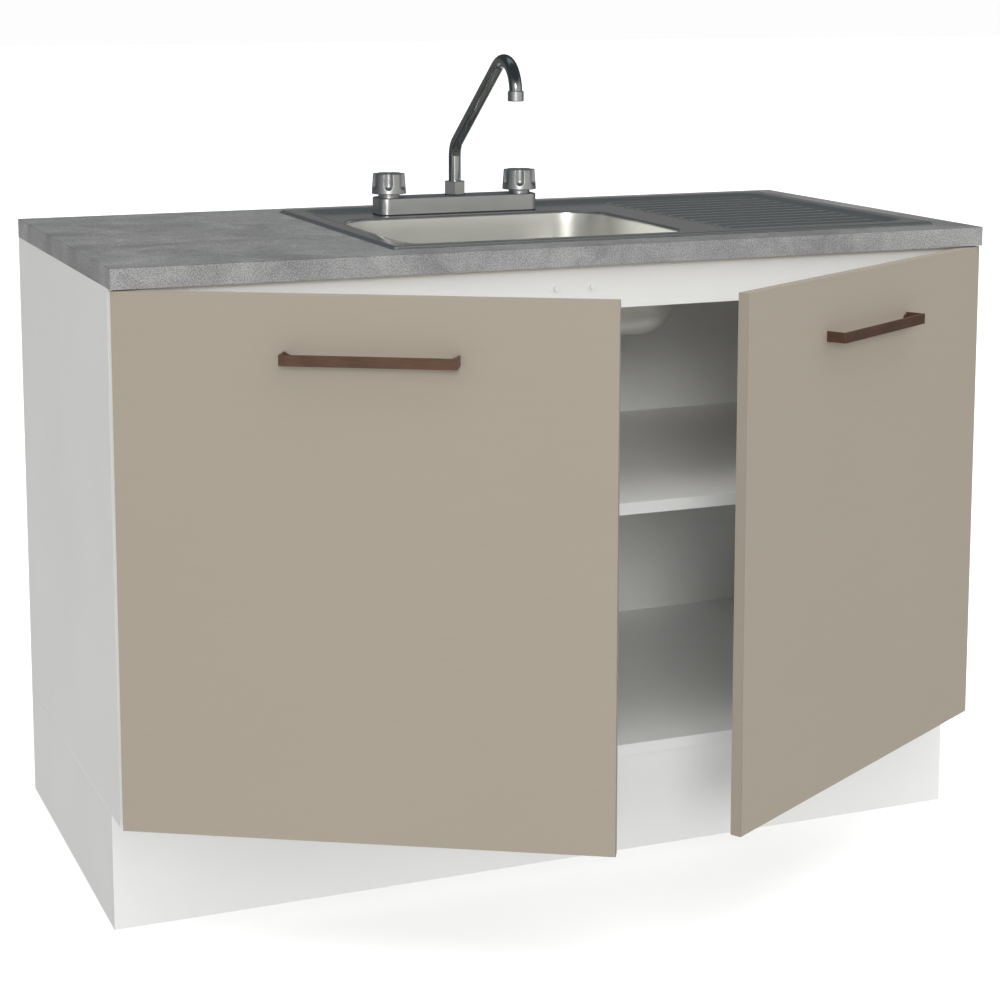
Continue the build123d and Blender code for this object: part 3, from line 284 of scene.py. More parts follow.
def concrete_laminate(colour, name, speckle):
    """Laminate printed as trowelled concrete: clouds 60 to 200 mm wide, a sand of 1 mm specks,
    drawn 2 mm wide, and a few dark pinholes of 2 to 4 mm where air would have been trapped."""
    material, tree, place = start_finish(name)
    clouds = add(tree, NOISE, {"Vector": place, "Scale": per_metre(142.86), "Detail": 6.0,
                               "Roughness": 0.55, "Distortion": 0.6})
    wisps = add(tree, NOISE, {"Vector": place, "Scale": per_metre(35.714), "Detail": 8.0,
                              "Roughness": 0.65, "Distortion": 1.2})
    sand = add(tree, NOISE, {"Vector": place, "Scale": per_metre(1.7857), "Detail": 2.0,
                             "Roughness": 0.7})
    slow = add(tree, MIX, {0: 0.42, 2: clouds, 3: wisps})
    tone = add(tree, RANGE, {"Value": slow, "From Min": 0.36, "From Max": 0.64})
    base = add(tree, MIX, {0: tone, 6: shade(colour, 0.74), 7: shade(colour, 1.3)}, **TINTED)
    grit = add(tree, RANGE, {"Value": sand, "From Min": 0.38, "From Max": 0.62,
                             "To Min": 1.0 - 0.36 * speckle, "To Max": 1.0 + 0.36 * speckle})
    sanded = add(tree, VECTOR, {0: base.outputs[2], "Scale": grit}, operation="SCALE")
    holes = add(tree, VORONOI, {"Vector": place, "Scale": per_metre(11.765)}, feature="F1")
    where = add(tree, NOISE, {"Vector": place, "Scale": per_metre(62.5), "Detail": 2.0})
    size = add(tree, RANGE, {"Value": where, "From Min": 0.5, "From Max": 0.75,
                             "To Min": 0.0, "To Max": 0.17})
    inside = add(tree, MATHS, {0: holes.outputs["Distance"], 1: size}, operation="LESS_THAN")
    dark = add(tree, MATHS, {0: inside, 1: 0.55 * speckle + 0.15}, operation="MULTIPLY")
    final = add(tree, MIX, {0: dark, 6: sanded, 7: shade(colour, 0.45)}, **TINTED)
    relief = add(tree, BUMP, {"Height": sand, "Strength": 0.25, "Distance": 0.15 * MM})
    sheen = add(tree, RANGE, {"Value": slow, "To Min": 0.46, "To Max": 0.62})
    end_finish(tree, {"Base Color": final.outputs[2], "Roughness": sheen,
                      "Normal": relief, "IOR": 1.5})
    return material


def sheet_steel(colour, name, roughness, metallic, relief_mm):
    """Stainless sheet, cold rolled and pressed: the rolling leaves a fine grain along the sink,
    0.1 mm wide and drawn 2 to 3 mm wide, wiping leaves soft cloudy patches in its sheen, and
    the press leaves shallow waves about 80 mm apart that bend what it mirrors."""
    material, tree, place = start_finish(name)
    along = add(tree, MAPPING, {"Vector": place, "Scale": (0.05, 1.0, 1.0)})
    grain = add(tree, NOISE, {"Vector": along, "Scale": per_metre(2.6316), "Detail": 2.0})
    wiped = add(tree, NOISE, {"Vector": place, "Scale": per_metre(111.11), "Detail": 3.0})
    waves = add(tree, NOISE, {"Vector": place, "Scale": per_metre(83.333), "Detail": 0.0})
    sheen = add(tree, RANGE, {"Value": wiped, "From Min": 0.3, "From Max": 0.7,
                              "To Min": roughness - 0.02, "To Max": roughness + 0.03})
    blend = add(tree, MIX, {0: grain, 6: shade(colour, 0.95), 7: shade(colour, 1.05)}, **TINTED)
    relief = add(tree, BUMP, {"Height": waves, "Strength": 0.2, "Distance": relief_mm * MM})
    end_finish(tree, {"Base Color": blend.outputs[2], "Metallic": metallic,
                      "Roughness": sheen, "Normal": relief})
    return material


def chromed_brass(colour, name, roughness):
    """Brass castings and tube, polished and chromed: bright, with the faint waves that hand
    polishing leaves 25 mm apart and a thin haze of wiping that dulls it in soft patches."""
    material, tree, place = start_finish(name)
    haze = add(tree, NOISE, {"Vector": place, "Scale": per_metre(22.222), "Detail": 2.0})
    waves = add(tree, NOISE, {"Vector": place, "Scale": per_metre(25), "Detail": 0.0})
    sheen = add(tree, RANGE, {"Value": haze, "From Min": 0.35, "From Max": 0.7,
                              "To Min": roughness - 0.02, "To Max": roughness + 0.04})
    blend = add(tree, MIX, {0: haze, 6: shade(colour, 0.96), 7: shade(colour, 1.03)}, **TINTED)
    relief = add(tree, BUMP, {"Height": waves, "Strength": 0.1, "Distance": 0.1 * MM})
    end_finish(tree, {"Base Color": blend.outputs[2], "Metallic": 1.0,
                      "Roughness": sheen, "Normal": relief})
    return material


def handle_coat(colour):
    """Steel strip with a brown metallic powder coat, brushed along its length: fine streaks,
    0.2 mm wide and drawn 1 mm wide, and a worn, lighter tone where fingers rub."""
    material, tree, place = start_finish("powder_coat_bronze")
    across = add(tree, MAPPING, {"Vector": place, "Scale": (0.05, 0.05, 1.0)})
    brush = add(tree, NOISE, {"Vector": across, "Scale": per_metre(0.83333), "Detail": 3.0})
    flake = add(tree, NOISE, {"Vector": place, "Scale": per_metre(1.1111), "Detail": 2.0})
    rubbed = add(tree, NOISE, {"Vector": place, "Scale": per_metre(40), "Detail": 3.0})
    both = add(tree, MIX, {0: 0.5, 2: brush, 3: rubbed})
    tone = add(tree, RANGE, {"Value": both, "From Min": 0.35, "From Max": 0.65})
    blend = add(tree, MIX, {0: tone, 6: shade(colour, 0.75), 7: shade(colour, 1.3)}, **TINTED)
    sheen = add(tree, RANGE, {"Value": flake, "To Min": 0.32, "To Max": 0.48})
    relief = add(tree, BUMP, {"Height": brush, "Strength": 0.15, "Distance": 0.05 * MM})
    end_finish(tree, {"Base Color": blend.outputs[2], "Metallic": 0.55,
                      "Roughness": sheen, "Normal": relief})
    return material


def zinc_plate():
    """Pressed and turned steel, bright zinc plated: a cool white metal with a faint mottle of
    dull crystals, 0.5 mm in the real plate and drawn 2 mm wide."""
    material, tree, place = start_finish("zinc_plated_steel")
    crystals = add(tree, VORONOI, {"Vector": place, "Scale": per_metre(2.381)}, feature="F1")
    tone = add(tree, RANGE, {"Value": crystals.outputs["Color"]})
    blend = add(tree, MIX, {0: tone, 6: linear("#A9AEB3"), 7: linear("#C4C8CB")}, **TINTED)
    sheen = add(tree, RANGE, {"Value": tone, "To Min": 0.26, "To Max": 0.4})
    end_finish(tree, {"Base Color": blend.outputs[2], "Metallic": 1.0, "Roughness": sheen})
    return material


def raw_chipboard():
    """Pressed wood chips with the fine outer layer sanded: flakes 1 to 4 mm, straw to brown."""
    material, tree, place = start_finish("chipboard_raw")
    chips = add(tree, VORONOI, {"Vector": place, "Scale": per_metre(3.0303)}, feature="F1")
    dust = add(tree, NOISE, {"Vector": place, "Scale": per_metre(7.1429), "Detail": 4.0})
    chip = add(tree, "ShaderNodeSeparateColor", {0: chips.outputs["Color"]}).outputs["Red"]
    both = add(tree, MIX, {0: 0.4, 2: chip, 3: dust})
    blend = add(tree, MIX, {0: both, 6: linear("#8B6A46"), 7: linear("#D0B184")}, **TINTED)
    relief = add(tree, BUMP, {"Height": both, "Strength": 0.5, "Distance": 0.3 * MM})
    end_finish(tree, {"Base Color": blend.outputs[2], "Roughness": 0.85,
                      "Normal": relief, "IOR": 1.45})
    return material


def turned_beech():
    """Beech dowels, turned and fluted: pale pink-brown with fine darker flecks along the grain."""
    material, tree, place = start_finish("beech_turned")
    along = add(tree, MAPPING, {"Vector": place, "Scale": (0.15, 1.0, 1.0)})
    flecks = add(tree, NOISE, {"Vector": along, "Scale": per_metre(1.1111), "Detail": 3.0})
    blend = add(tree, MIX, {0: flecks, 6: linear("#B98E62"), 7: linear("#DDBB92")}, **TINTED)
    end_finish(tree, {"Base Color": blend.outputs[2], "Roughness": 0.65, "IOR": 1.45})
    return material


def moulded(name, dark, light, roughness, relief_mm, grain_mm):
    """Injection-moulded plastic or rubber: a fine mould texture, drawn at the given size, that
    softens its sheen, and a slow tone from the flow of the melt."""
    material, tree, place = start_finish(name)
    skin = add(tree, NOISE, {"Vector": place, "Scale": per_metre(grain_mm), "Detail": 2.0})
    flow = add(tree, NOISE, {"Vector": place, "Scale": per_metre(40), "Detail": 3.0})
    blend = add(tree, MIX, {0: flow, 6: linear(dark), 7: linear(light)}, **TINTED)
    sheen = add(tree, RANGE, {"Value": skin, "To Min": roughness - 0.07,
                              "To Max": roughness + 0.07})
    relief = add(tree, BUMP, {"Height": skin, "Strength": 0.25, "Distance": relief_mm * MM})
    end_finish(tree, {"Base Color": blend.outputs[2], "Roughness": sheen, "Normal": relief,
                      "IOR": 1.49})
    return material


def turned_brass():
    """Threaded brass tails and nuts, turned and left bare: warm yellow with fine rings of the
    tool, 0.2 mm apart and drawn 2 mm apart, and a light tarnish."""
    material, tree, place = start_finish("brass_turned")
    # At a scale of 1 a wave texture's rings lie pi / 10 apart.
    rings = add(tree, "ShaderNodeTexWave", {"Vector": place, "Distortion": 0.6,
                                            "Scale": math.pi / 10 * per_metre(1.9635)},
                bands_direction="Z")
    tarnish = add(tree, NOISE, {"Vector": place, "Scale": per_metre(11.111), "Detail": 4.0})
    blend = add(tree, MIX, {0: tarnish, 6: linear("#9E7F3E"), 7: linear("#D3B36A")}, **TINTED)
    sheen = add(tree, RANGE, {"Value": tarnish, "To Min": 0.25, "To Max": 0.45})
    relief = add(tree, BUMP, {"Height": rings.outputs["Fac"], "Strength": 0.2,
                              "Distance": 0.1 * MM})
    end_finish(tree, {"Base Color": blend.outputs[2], "Metallic": 1.0,
                      "Roughness": sheen, "Normal": relief})
    return material


# ------------------------------------------------------------------ pieces

SHARP = math.radians(40)
# On boards only edges longer than this are eased, so the rims of drilled holes stay crisp.
LONG_EDGE = 20 * MM


def new_piece(name, mesh, material, slot, body, *replaced):
    """Puts a finished mesh in the frame: its finish, the body it rides on and what it replaces."""
    mesh.name = name
    mesh.materials.clear()
    mesh.materials.append(material)
    piece = bpy.data.objects.new(name, mesh)
    bpy.context.scene.collection.objects.link(piece)
    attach(piece, body)
    if replaced:
        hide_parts(*replaced)
    return piece


def finish_node(material, *nodes):
    """Gives carried-over CAD nodes their material."""
    for node in nodes:
        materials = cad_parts[node].data.materials
        if not materials:
            materials.append(material)
        for slot in range(len(materials)):
            materials[slot] = material


def merged_form(node):
    """A bmesh of a CAD node with its triangles merged into whole faces."""
    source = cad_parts[node].data
    form = bmesh.new()
    corners = [form.verts.new(v.co) for v in source.vertices]
    for face in source.polygons:
        form.faces.new([corners[i] for i in face.vertices])
    bmesh.ops.remove_doubles(form, verts=form.verts, dist=2e-6)
    bmesh.ops.dissolve_limit(form, angle_limit=math.radians(0.2), verts=form.verts,
                             edges=form.edges, delimit={"NORMAL"})
    return form


def mesh_from(form, name, sharp=SHARP):
    """A mesh of a bmesh, shaded smooth up to a sharp angle."""
    mesh = bpy.data.meshes.new(name)
    form.to_mesh(mesh)
    form.free()
    mesh.shade_smooth()
    mesh.set_sharp_from_angle(angle=sharp)
    return mesh


def eased_copy(node, material, slot, body, width, shortest=0.0):
    """Stands for a CAD node with its sharp edges eased, apart from those under the shortest."""
    form = merged_form(node)
    weight = form.edges.layers.float.new("bevel_weight_edge")
    for edge in form.edges:
        if len(edge.link_faces) == 2 and edge.calc_length() >= shortest:
            if edge.calc_face_angle(0.0) > SHARP:
                edge[weight] = 1.0
    piece = new_piece(node + "_eased", mesh_from(form, node), material, slot, body, node)
    ease = piece.modifiers.new("eased edges", "BEVEL")
    ease.width = width
    ease.segments = 2
    ease.limit_method = "WEIGHT"
    ease.harden_normals = True
    ease.miter_outer = "MITER_ARC"
    return piece


def grown_mesh(tree, carrier, values):
    """Runs a Geometry Nodes tree on a carrier and returns its result as one plain mesh."""
    bpy.context.scene.collection.objects.link(carrier)
    modifier = carrier.modifiers.new("form", "NODES")
    modifier.node_group = tree
    for item in tree.interface.items_tree:
        if item.item_type == "SOCKET" and item.in_out == "INPUT" and item.name in values:
            modifier[item.identifier] = values[item.name]
    view = bpy.context.evaluated_depsgraph_get()
    mesh = bpy.data.meshes.new_from_object(carrier.evaluated_get(view), depsgraph=view)
    bpy.data.objects.remove(carrier)
    return mesh


def start_tree(name, inputs):
    """A Geometry Nodes tree with its named inputs and the kind of socket of each."""
    tree = bpy.data.node_groups.new(name, "GeometryNodeTree")
    tree.interface.new_socket("Geometry", in_out="INPUT", socket_type="NodeSocketGeometry")
    for label, kind in inputs.items():
        tree.interface.new_socket(label, in_out="INPUT", socket_type=kind)
    tree.interface.new_socket("Geometry", in_out="OUTPUT", socket_type="NodeSocketGeometry")
    return tree, add(tree, "NodeGroupInput").outputs


def end_tree(tree, geometry, material):
    """Closes a tree with its instances made real and its material set."""
    real = add(tree, "GeometryNodeRealizeInstances", {0: geometry})
    dressed = add(tree, "GeometryNodeSetMaterial", {"Geometry": real, "Material": material})
    add(tree, "NodeGroupOutput", {0: dressed})


# ------------------------------------------------------------------ sink shapes, in millimetres

SINK_CENTRE = (161.0, 0.0)
SINK_HALF = (395.0, 250.0)
DECK_Z = 835.6
RIM_Z = 840.6
EDGE_Z = 837.4
RIM_ROUND = 6.0
SLOPE_START = 18.0
SLOPE_END = 46.0
CORNER_RADII = ((0.0, 8.0), (6.0, 5.0), (20.0, 34.0), (46.0, 22.0))
BOWL_CENTRE = (9.0, -41.0)
MOUTH_HALF = (203.0, 175.0)
MOUTH_CORNER = 69.0
FOLD = 4.0
DRAFT = math.radians(3)
FLOOR_ROUND = 45.0
FLOOR_Z = 695.6
WASTE_HOLE = 44.0

# How finely the skins of deck, fold and bowl are divided: rings, and steps in a corner and a side.
DECK_INSETS = (0, 1, 2, 3, 4, 5, 6, 12, 18, 20, 22.5, 25, 28, 32, 36, 39, 41.5, 44, 46, 60)
DECK_STEPS = (12, 60)
MOUTH_STEPS = (14, 10)
CLEAR_OF_MOUTH = 2.0
FOLD_RINGS = 7
WALL_RINGS = 6
FOOT_RINGS = 12
FLOOR_RINGS = 8

# The drainer's ribs, which end in line on the right and grow shorter towards the front.
RIB_ENDS_X = 518.0
FIRST_RIB_Y = -198.0
RIB_LENGTH = 256.0
RIB_SHORTENING = 1.0
RIB_TAPER = 12.0
RIB_ROOT = 0.5


def rounded_loop(centre, half, radius, corner_steps, side_steps):
    """Points of a rounded rectangle, anticlockwise, with steps in each corner and side."""
    points = []
    turns = ((1, -1, -90), (1, 1, 0), (-1, 1, 90), (-1, -1, 180))
    for k, (sx, sy, start) in enumerate(turns):
        cx = centre[0] + sx * (half[0] - radius)
        cy = centre[1] + sy * (half[1] - radius)
        for i in range(corner_steps + 1):
            angle = math.radians(start + 90 * i / corner_steps)
            points.append((cx + radius * math.cos(angle), cy + radius * math.sin(angle)))
        nsx, nsy, nstart = turns[(k + 1) % 4]
        angle = math.radians(nstart)
        nx = centre[0] + nsx * (half[0] - radius) + radius * math.cos(angle)
        ny = centre[1] + nsy * (half[1] - radius) + radius * math.sin(angle)
        x0, y0 = points[-1]
        for i in range(1, side_steps):
            points.append((x0 + (nx - x0) * i / side_steps, y0 + (ny - y0) * i / side_steps))
    return points


def corner_radius(inset):
    """The corner radius of the sink's outline at an inset from its edge."""
    for (d0, r0), (d1, r1) in zip(CORNER_RADII, CORNER_RADII[1:]):
        if inset <= d1:
            return r0 + (r1 - r0) * (inset - d0) / (d1 - d0)
    return CORNER_RADII[-1][1]


def deck_height(inset):
    """The height of the sink's deck at an inset from its edge."""
    if inset < RIM_ROUND:
        return EDGE_Z + (RIM_Z - EDGE_Z) * math.sin(math.pi / 2 * inset / RIM_ROUND)
    along = min(1.0, max(0.0, (inset - SLOPE_START) / (SLOPE_END - SLOPE_START)))
    return RIM_Z + (DECK_Z - RIM_Z) * along * along * (3 - 2 * along)


def inset_at(x, y):
    """How far a point on the sink lies from its nearest straight edge."""
    return min(SINK_HALF[0] - abs(x - SINK_CENTRE[0]), SINK_HALF[1] - abs(y - SINK_CENTRE[1]))


def beyond_mouth(x, y):
    """The distance of a point outside the bowl's mouth, negative inside it."""
    dx = abs(x - BOWL_CENTRE[0]) - (MOUTH_HALF[0] - MOUTH_CORNER)
    dy = abs(y - BOWL_CENTRE[1]) - (MOUTH_HALF[1] - MOUTH_CORNER)
    outside = math.hypot(max(dx, 0.0), max(dy, 0.0))
    return outside + min(max(dx, dy), 0.0) - MOUTH_CORNER


def bowl_ring(inset, drop, follow):
    """A ring of the bowl at an inset and a drop; follow is how far it keeps the deck's height."""
    half = (MOUTH_HALF[0] - inset, MOUTH_HALF[1] - inset)
    ring = []
    mouth = rounded_loop(BOWL_CENTRE, MOUTH_HALF, MOUTH_CORNER, *MOUTH_STEPS)
    drawn_in = rounded_loop(BOWL_CENTRE, half, MOUTH_CORNER - inset, *MOUTH_STEPS)
    for (x, y), (mx, my) in zip(drawn_in, mouth):
        lift = (deck_height(inset_at(mx, my)) - DECK_Z) * follow
        ring.append((x, y, DECK_Z + lift - drop))
    return ring


def skin_rings(form, rings):
    """Joins rings of equal count with faces and returns their vertices."""
    made = [[form.verts.new(Vector(p) * MM) for p in ring] for ring in rings]
    for upper, lower in zip(made, made[1:]):
        count = len(upper)
        for i in range(count):
            j = (i + 1) % count
            form.faces.new((upper[j], upper[i], lower[i], lower[j]))
    return made


def fold_rings():
    """The rings of the rounded fold from the deck into the bowl."""
    rings = []
    for k in range(FOLD_RINGS + 1):
        part = k / FOLD_RINGS
        angle = (math.pi / 2 - DRAFT) * part
        rings.append(bowl_ring(FOLD * math.sin(angle), FOLD * (1 - math.cos(angle)), 1 - part))
    return rings


def deck_form():
    """The deck as one skin: rounded rim, slope and flat, open at the bowl, with its fold."""
    points, heights, edges = [], [], []
    for inset in DECK_INSETS:
        half = (SINK_HALF[0] - inset, SINK_HALF[1] - inset)
        loop = rounded_loop(SINK_CENTRE, half, corner_radius(inset), *DECK_STEPS)
        start = len(points)
        points += [Vector(spot) for spot in loop]
        heights += [deck_height(inset)] * len(loop)
        for i in range(len(loop)):
            a, b = start + i, start + (i + 1) % len(loop)
            if min(beyond_mouth(*points[a]), beyond_mouth(*points[b])) > CLEAR_OF_MOUTH:
                edges.append((a, b))
    keep = [i for i, p in enumerate(points) if beyond_mouth(*p) > CLEAR_OF_MOUTH]
    renumber = {old: new for new, old in enumerate(keep)}
    edges = [(renumber[a], renumber[b]) for a, b in edges]
    points = [points[i] for i in keep]
    heights = [heights[i] for i in keep]
    mouth = fold_rings()[0]
    start = len(points)
    for i, (x, y, z) in enumerate(mouth):
        points.append(Vector((x, y)))
        heights.append(z)
        edges.append((start + i, start + (i + 1) % len(mouth)))
    spots, _, faces, sources, _, _ = delaunay_2d_cdt(points, edges, [], 1, 1e-4)
    form = bmesh.new()
    verts = []
    for spot, source in zip(spots, sources):
        z = heights[source[0]] if source else deck_height(inset_at(*spot))
        verts.append(form.verts.new(Vector((spot.x, spot.y, z)) * MM))
    for face in faces:
        middle_x = sum(spots[i].x for i in face) / len(face)
        middle_y = sum(spots[i].y for i in face) / len(face)
        if beyond_mouth(middle_x, middle_y) > -0.01:
            form.faces.new([verts[i] for i in face])
    for vert in [v for v in form.verts if not v.link_faces]:
        form.verts.remove(vert)
    skin_rings(form, fold_rings())
    bmesh.ops.remove_doubles(form, verts=form.verts, dist=1e-6)
    bmesh.ops.recalc_face_normals(form, faces=form.faces)
    return form


def bowl_form():
    """The bowl below its fold: drafted walls, a round foot and the floor up to the waste."""
    rings = [fold_rings()[-1]]
    foot_z = FLOOR_Z + FLOOR_ROUND * (1 - math.sin(DRAFT))
    inset = FOLD * math.cos(DRAFT)
    top_drop = FOLD * (1 - math.sin(DRAFT))
    foot_drop = DECK_Z - foot_z
    for k in range(1, WALL_RINGS + 1):
        drop = top_drop + (foot_drop - top_drop) * k / WALL_RINGS
        rings.append(bowl_ring(inset + (drop - top_drop) * math.tan(DRAFT), drop, 0.0))
    foot_inset = inset + (foot_drop - top_drop) * math.tan(DRAFT)
    for k in range(1, FOOT_RINGS + 1):
        angle = DRAFT + (math.pi / 2 - DRAFT) * k / FOOT_RINGS
        across = FLOOR_ROUND * (math.cos(DRAFT) - math.cos(angle))
        down = FLOOR_ROUND * (math.sin(angle) - math.sin(DRAFT))
        rings.append(bowl_ring(foot_inset + across, foot_drop + down, 0.0))
    floor = rings[-1]
    for k in range(1, FLOOR_RINGS + 1):
        part = k / FLOOR_RINGS
        ring = []
        for x, y, z in floor:
            reach = math.hypot(x - BOWL_CENTRE[0], y - BOWL_CENTRE[1])
            hole_x = BOWL_CENTRE[0] + (x - BOWL_CENTRE[0]) * WASTE_HOLE / reach
            hole_y = BOWL_CENTRE[1] + (y - BOWL_CENTRE[1]) * WASTE_HOLE / reach
            ring.append((x + (hole_x - x) * part, y + (hole_y - y) * part, z))
        rings.append(ring)
    form = bmesh.new()
    skin_rings(form, rings)
    return form


def sheet_piece(name, form, material, slot, node, thickness):
    """A pressed steel sheet: its skin looks up and its thickness goes down."""
    up = sum(face.normal.z * face.calc_area() for face in form.faces)
    if up < 0:
        bmesh.ops.reverse_faces(form, faces=form.faces)
    mesh = mesh_from(form, name, math.radians(60))
    piece = new_piece(name, mesh, material, slot, "cabinet", node)
    wall = piece.modifiers.new("sheet", "SOLIDIFY")
    wall.thickness = thickness
    wall.offset = -1
    even = piece.modifiers.new("even shading", "WEIGHTED_NORMAL")
    even.keep_sharp = True
    return piece


def rib_tree(material):
    """Ribs pressed up in the drainer: one rounded bar, repeated and shortened step by step."""
    tree, given = start_tree("drainer_ribs", {
        "Count": "NodeSocketInt", "Spacing": METRES, "Length": METRES, "Shortening": METRES,
        "Height": METRES, "Half width": METRES, "Taper": METRES, "Root": METRES,
        "First": "NodeSocketVector"})
    bar = add(tree, "GeometryNodeMeshCylinder", {"Vertices": 36, "Side Segments": 36,
                                                "Radius": 1.0, "Depth": 1.0}, fill_type="NGON")
    sideways, upward, lengthwise = add(
        tree, SPLIT, {0: add(tree, "GeometryNodeInputPosition")}).outputs
    # Along the bar: stations crowd towards both ends, where it rounds off.
    turn = add(tree, MATHS, {0: lengthwise, 1: 0.5}, operation="ADD")
    half_turn = add(tree, MATHS, {0: turn, 1: math.pi}, operation="MULTIPLY")
    cosine = add(tree, MATHS, {0: half_turn}, operation="COSINE")
    share = add(tree, RANGE, {"Value": cosine, "From Min": 1.0, "From Max": -1.0})
    along = add(tree, MATHS, {0: share, 1: given["Length"]}, operation="MULTIPLY")
    rest = add(tree, MATHS, {0: given["Length"], 1: along}, operation="SUBTRACT")
    nearest = add(tree, MATHS, {0: along, 1: rest}, operation="MINIMUM")
    ended = add(tree, RANGE, {"Value": nearest, "From Min": 0.0,
                              "From Max": given["Taper"], "To Min": 1.0, "To Max": 0.0})
    squared = add(tree, MATHS, {0: ended, 1: ended}, operation="MULTIPLY")
    remaining = add(tree, MATHS, {0: 1.0, 1: squared}, operation="SUBTRACT")
    taper = add(tree, MATHS, {0: remaining}, operation="SQRT")
    # Across the bar: rounded flanks up to a level top, and a shallow root in the deck.
    aside = add(tree, MATHS, {0: sideways}, operation="ABSOLUTE")
    lifted = add(tree, RANGE, {"Value": aside, "From Min": 1.0, "From Max": 0.5, "To Min": 0.0,
                               "To Max": given["Height"]}, interpolation_type="SMOOTHSTEP")
    sunk = add(tree, MATHS, {0: upward, 1: given["Root"]}, operation="MULTIPLY")
    above = add(tree, MATHS, {0: upward, 1: 0.0}, operation="GREATER_THAN")
    height = add(tree, MIX, {0: above, 2: sunk, 3: lifted})
    rise = add(tree, MATHS, {0: height, 1: taper}, operation="MULTIPLY")
    side = add(tree, MATHS, {0: sideways, 1: given["Half width"]}, operation="MULTIPLY")
    width = add(tree, MATHS, {0: side, 1: taper}, operation="MULTIPLY")
    back = add(tree, MATHS, {0: along, 1: given["Length"]}, operation="SUBTRACT")
    spot = add(tree, JOIN, {0: back, 1: width, 2: rise})
    shaped = add(tree, "GeometryNodeSetPosition", {0: bar, "Position": spot})
    step = add(tree, JOIN, {1: given["Spacing"]})
    row = add(tree, "GeometryNodeMeshLine", {"Count": given["Count"],
                                             "Start Location": given["First"], "Offset": step})
    index = add(tree, "GeometryNodeInputIndex")
    last = add(tree, MATHS, {0: given["Count"], 1: 1.0}, operation="SUBTRACT")
    behind = add(tree, MATHS, {0: last, 1: index}, operation="SUBTRACT")
    cut = add(tree, MATHS, {0: behind, 1: given["Shortening"]}, operation="MULTIPLY")
    part = add(tree, MATHS, {0: cut, 1: given["Length"]}, operation="DIVIDE")
    kept = add(tree, MATHS, {0: 1.0, 1: part}, operation="SUBTRACT")
    stretch = add(tree, JOIN, {0: kept, 1: 1.0, 2: 1.0})
    ribs = add(tree, "GeometryNodeInstanceOnPoints", {"Points": row, "Instance": shaped,
                                                      "Scale": stretch})
    end_tree(tree, ribs, material)
    return tree


# ------------------------------------------------------------------ tap shapes

def knob_form(centre, bottom, top, flutes):
    """A knob's skin: a slight cone with eased finger flutes, an eased rim and a seat for a cap."""
    foot_radius, head_radius = 25.0, 22.75
    flute_circle, flute_radius, flute_end, flute_ease = 27.5, 8.0, 13.2, 0.8
    first_flute = math.radians(-110)
    rim, seat, seat_depth = 1.0, 9.2, 1.5
    height = (top - bottom) / MM
    angles = [2 * math.pi * i / 240 for i in range(240)]

    def reach(angle, z):
        """The knob's radius at an angle and a height above its foot."""
        cone = foot_radius + (head_radius - foot_radius) * z / height
        spread = 2 * math.pi / flutes
        off = (angle - first_flute + spread / 2) % spread - spread / 2
        bore = flute_radius
        if z < flute_end:
            bore = math.sqrt(max(flute_radius ** 2 - (flute_end - z) ** 2, 0.0))
        side = flute_circle * math.sin(off)
        if abs(side) >= bore:
            return cone
        hollow = flute_circle * math.cos(off) - math.sqrt(bore ** 2 - side ** 2)
        near = max(flute_ease - abs(cone - hollow), 0.0) / flute_ease
        return min(cone, hollow) - near * near * flute_ease / 4

    # From the foot up, as pairs of a height and an inset: an eased foot, then the wall.
    foot = [(0.0, 1.2), (0.0, 0.5), (0.4, 0.12), (1.0, 0.0)]
    wall_steps, rim_steps = 52, 5
    wall_step = (height - foot[-1][0] - rim) / wall_steps
    wall = [(foot[-1][0] + wall_step * k, 0.0) for k in range(1, wall_steps + 1)]
    rings = [[(reach(a, z) - inset, z) for a in angles] for z, inset in foot + wall]
    for k in range(1, rim_steps + 1):
        turn = math.pi / 2 * k / rim_steps
        z, inset = height - rim * (1 - math.sin(turn)), rim * (1 - math.cos(turn))
        rings.append([(reach(a, height) - inset, z) for a in angles])
    edge = rings[-1]
    for part in (0.3, 0.65, 1.0):
        rings.append([(r + (seat - r) * part, height) for r, _ in edge])
    rings.append([(seat, height - seat_depth)] * len(angles))
    x, y, z0 = centre.x / MM, centre.y / MM, bottom / MM
    form = bmesh.new()
    made = skin_rings(form, [[(x + r * math.cos(a), y + r * math.sin(a), z0 + z)
                              for a, (r, z) in zip(angles, ring)] for ring in reversed(rings)])
    form.faces.new(made[0])
    form.faces.new(list(reversed(made[-1])))
    return form


def spout_tree(material):
    """The spout's tube: its route's corners rounded, with a circle carried along it."""
    tree, given = start_tree("spout_tube", {"Tube radius": METRES, "Low bend": METRES,
                                            "Hook": METRES})
    index = add(tree, "GeometryNodeInputIndex")
    is_hook = add(tree, MATHS, {0: index, 1: 1.5}, operation="GREATER_THAN")
    radius = add(tree, MIX, {0: is_hook, 2: given["Low bend"], 3: given["Hook"]})
    route = add(tree, "GeometryNodeFilletCurve", {"Curve": given["Geometry"], "Count": 40,
                                                  "Radius": radius}, mode="POLY")
    ring = add(tree, "GeometryNodeCurvePrimitiveCircle", {"Resolution": 48,
                                                          "Radius": given["Tube radius"]})
    tube = add(tree, "GeometryNodeCurveToMesh", {"Curve": route, "Profile Curve": ring,
                                                 "Fill Caps": True})
    end_tree(tree, tube, material)
    return tree


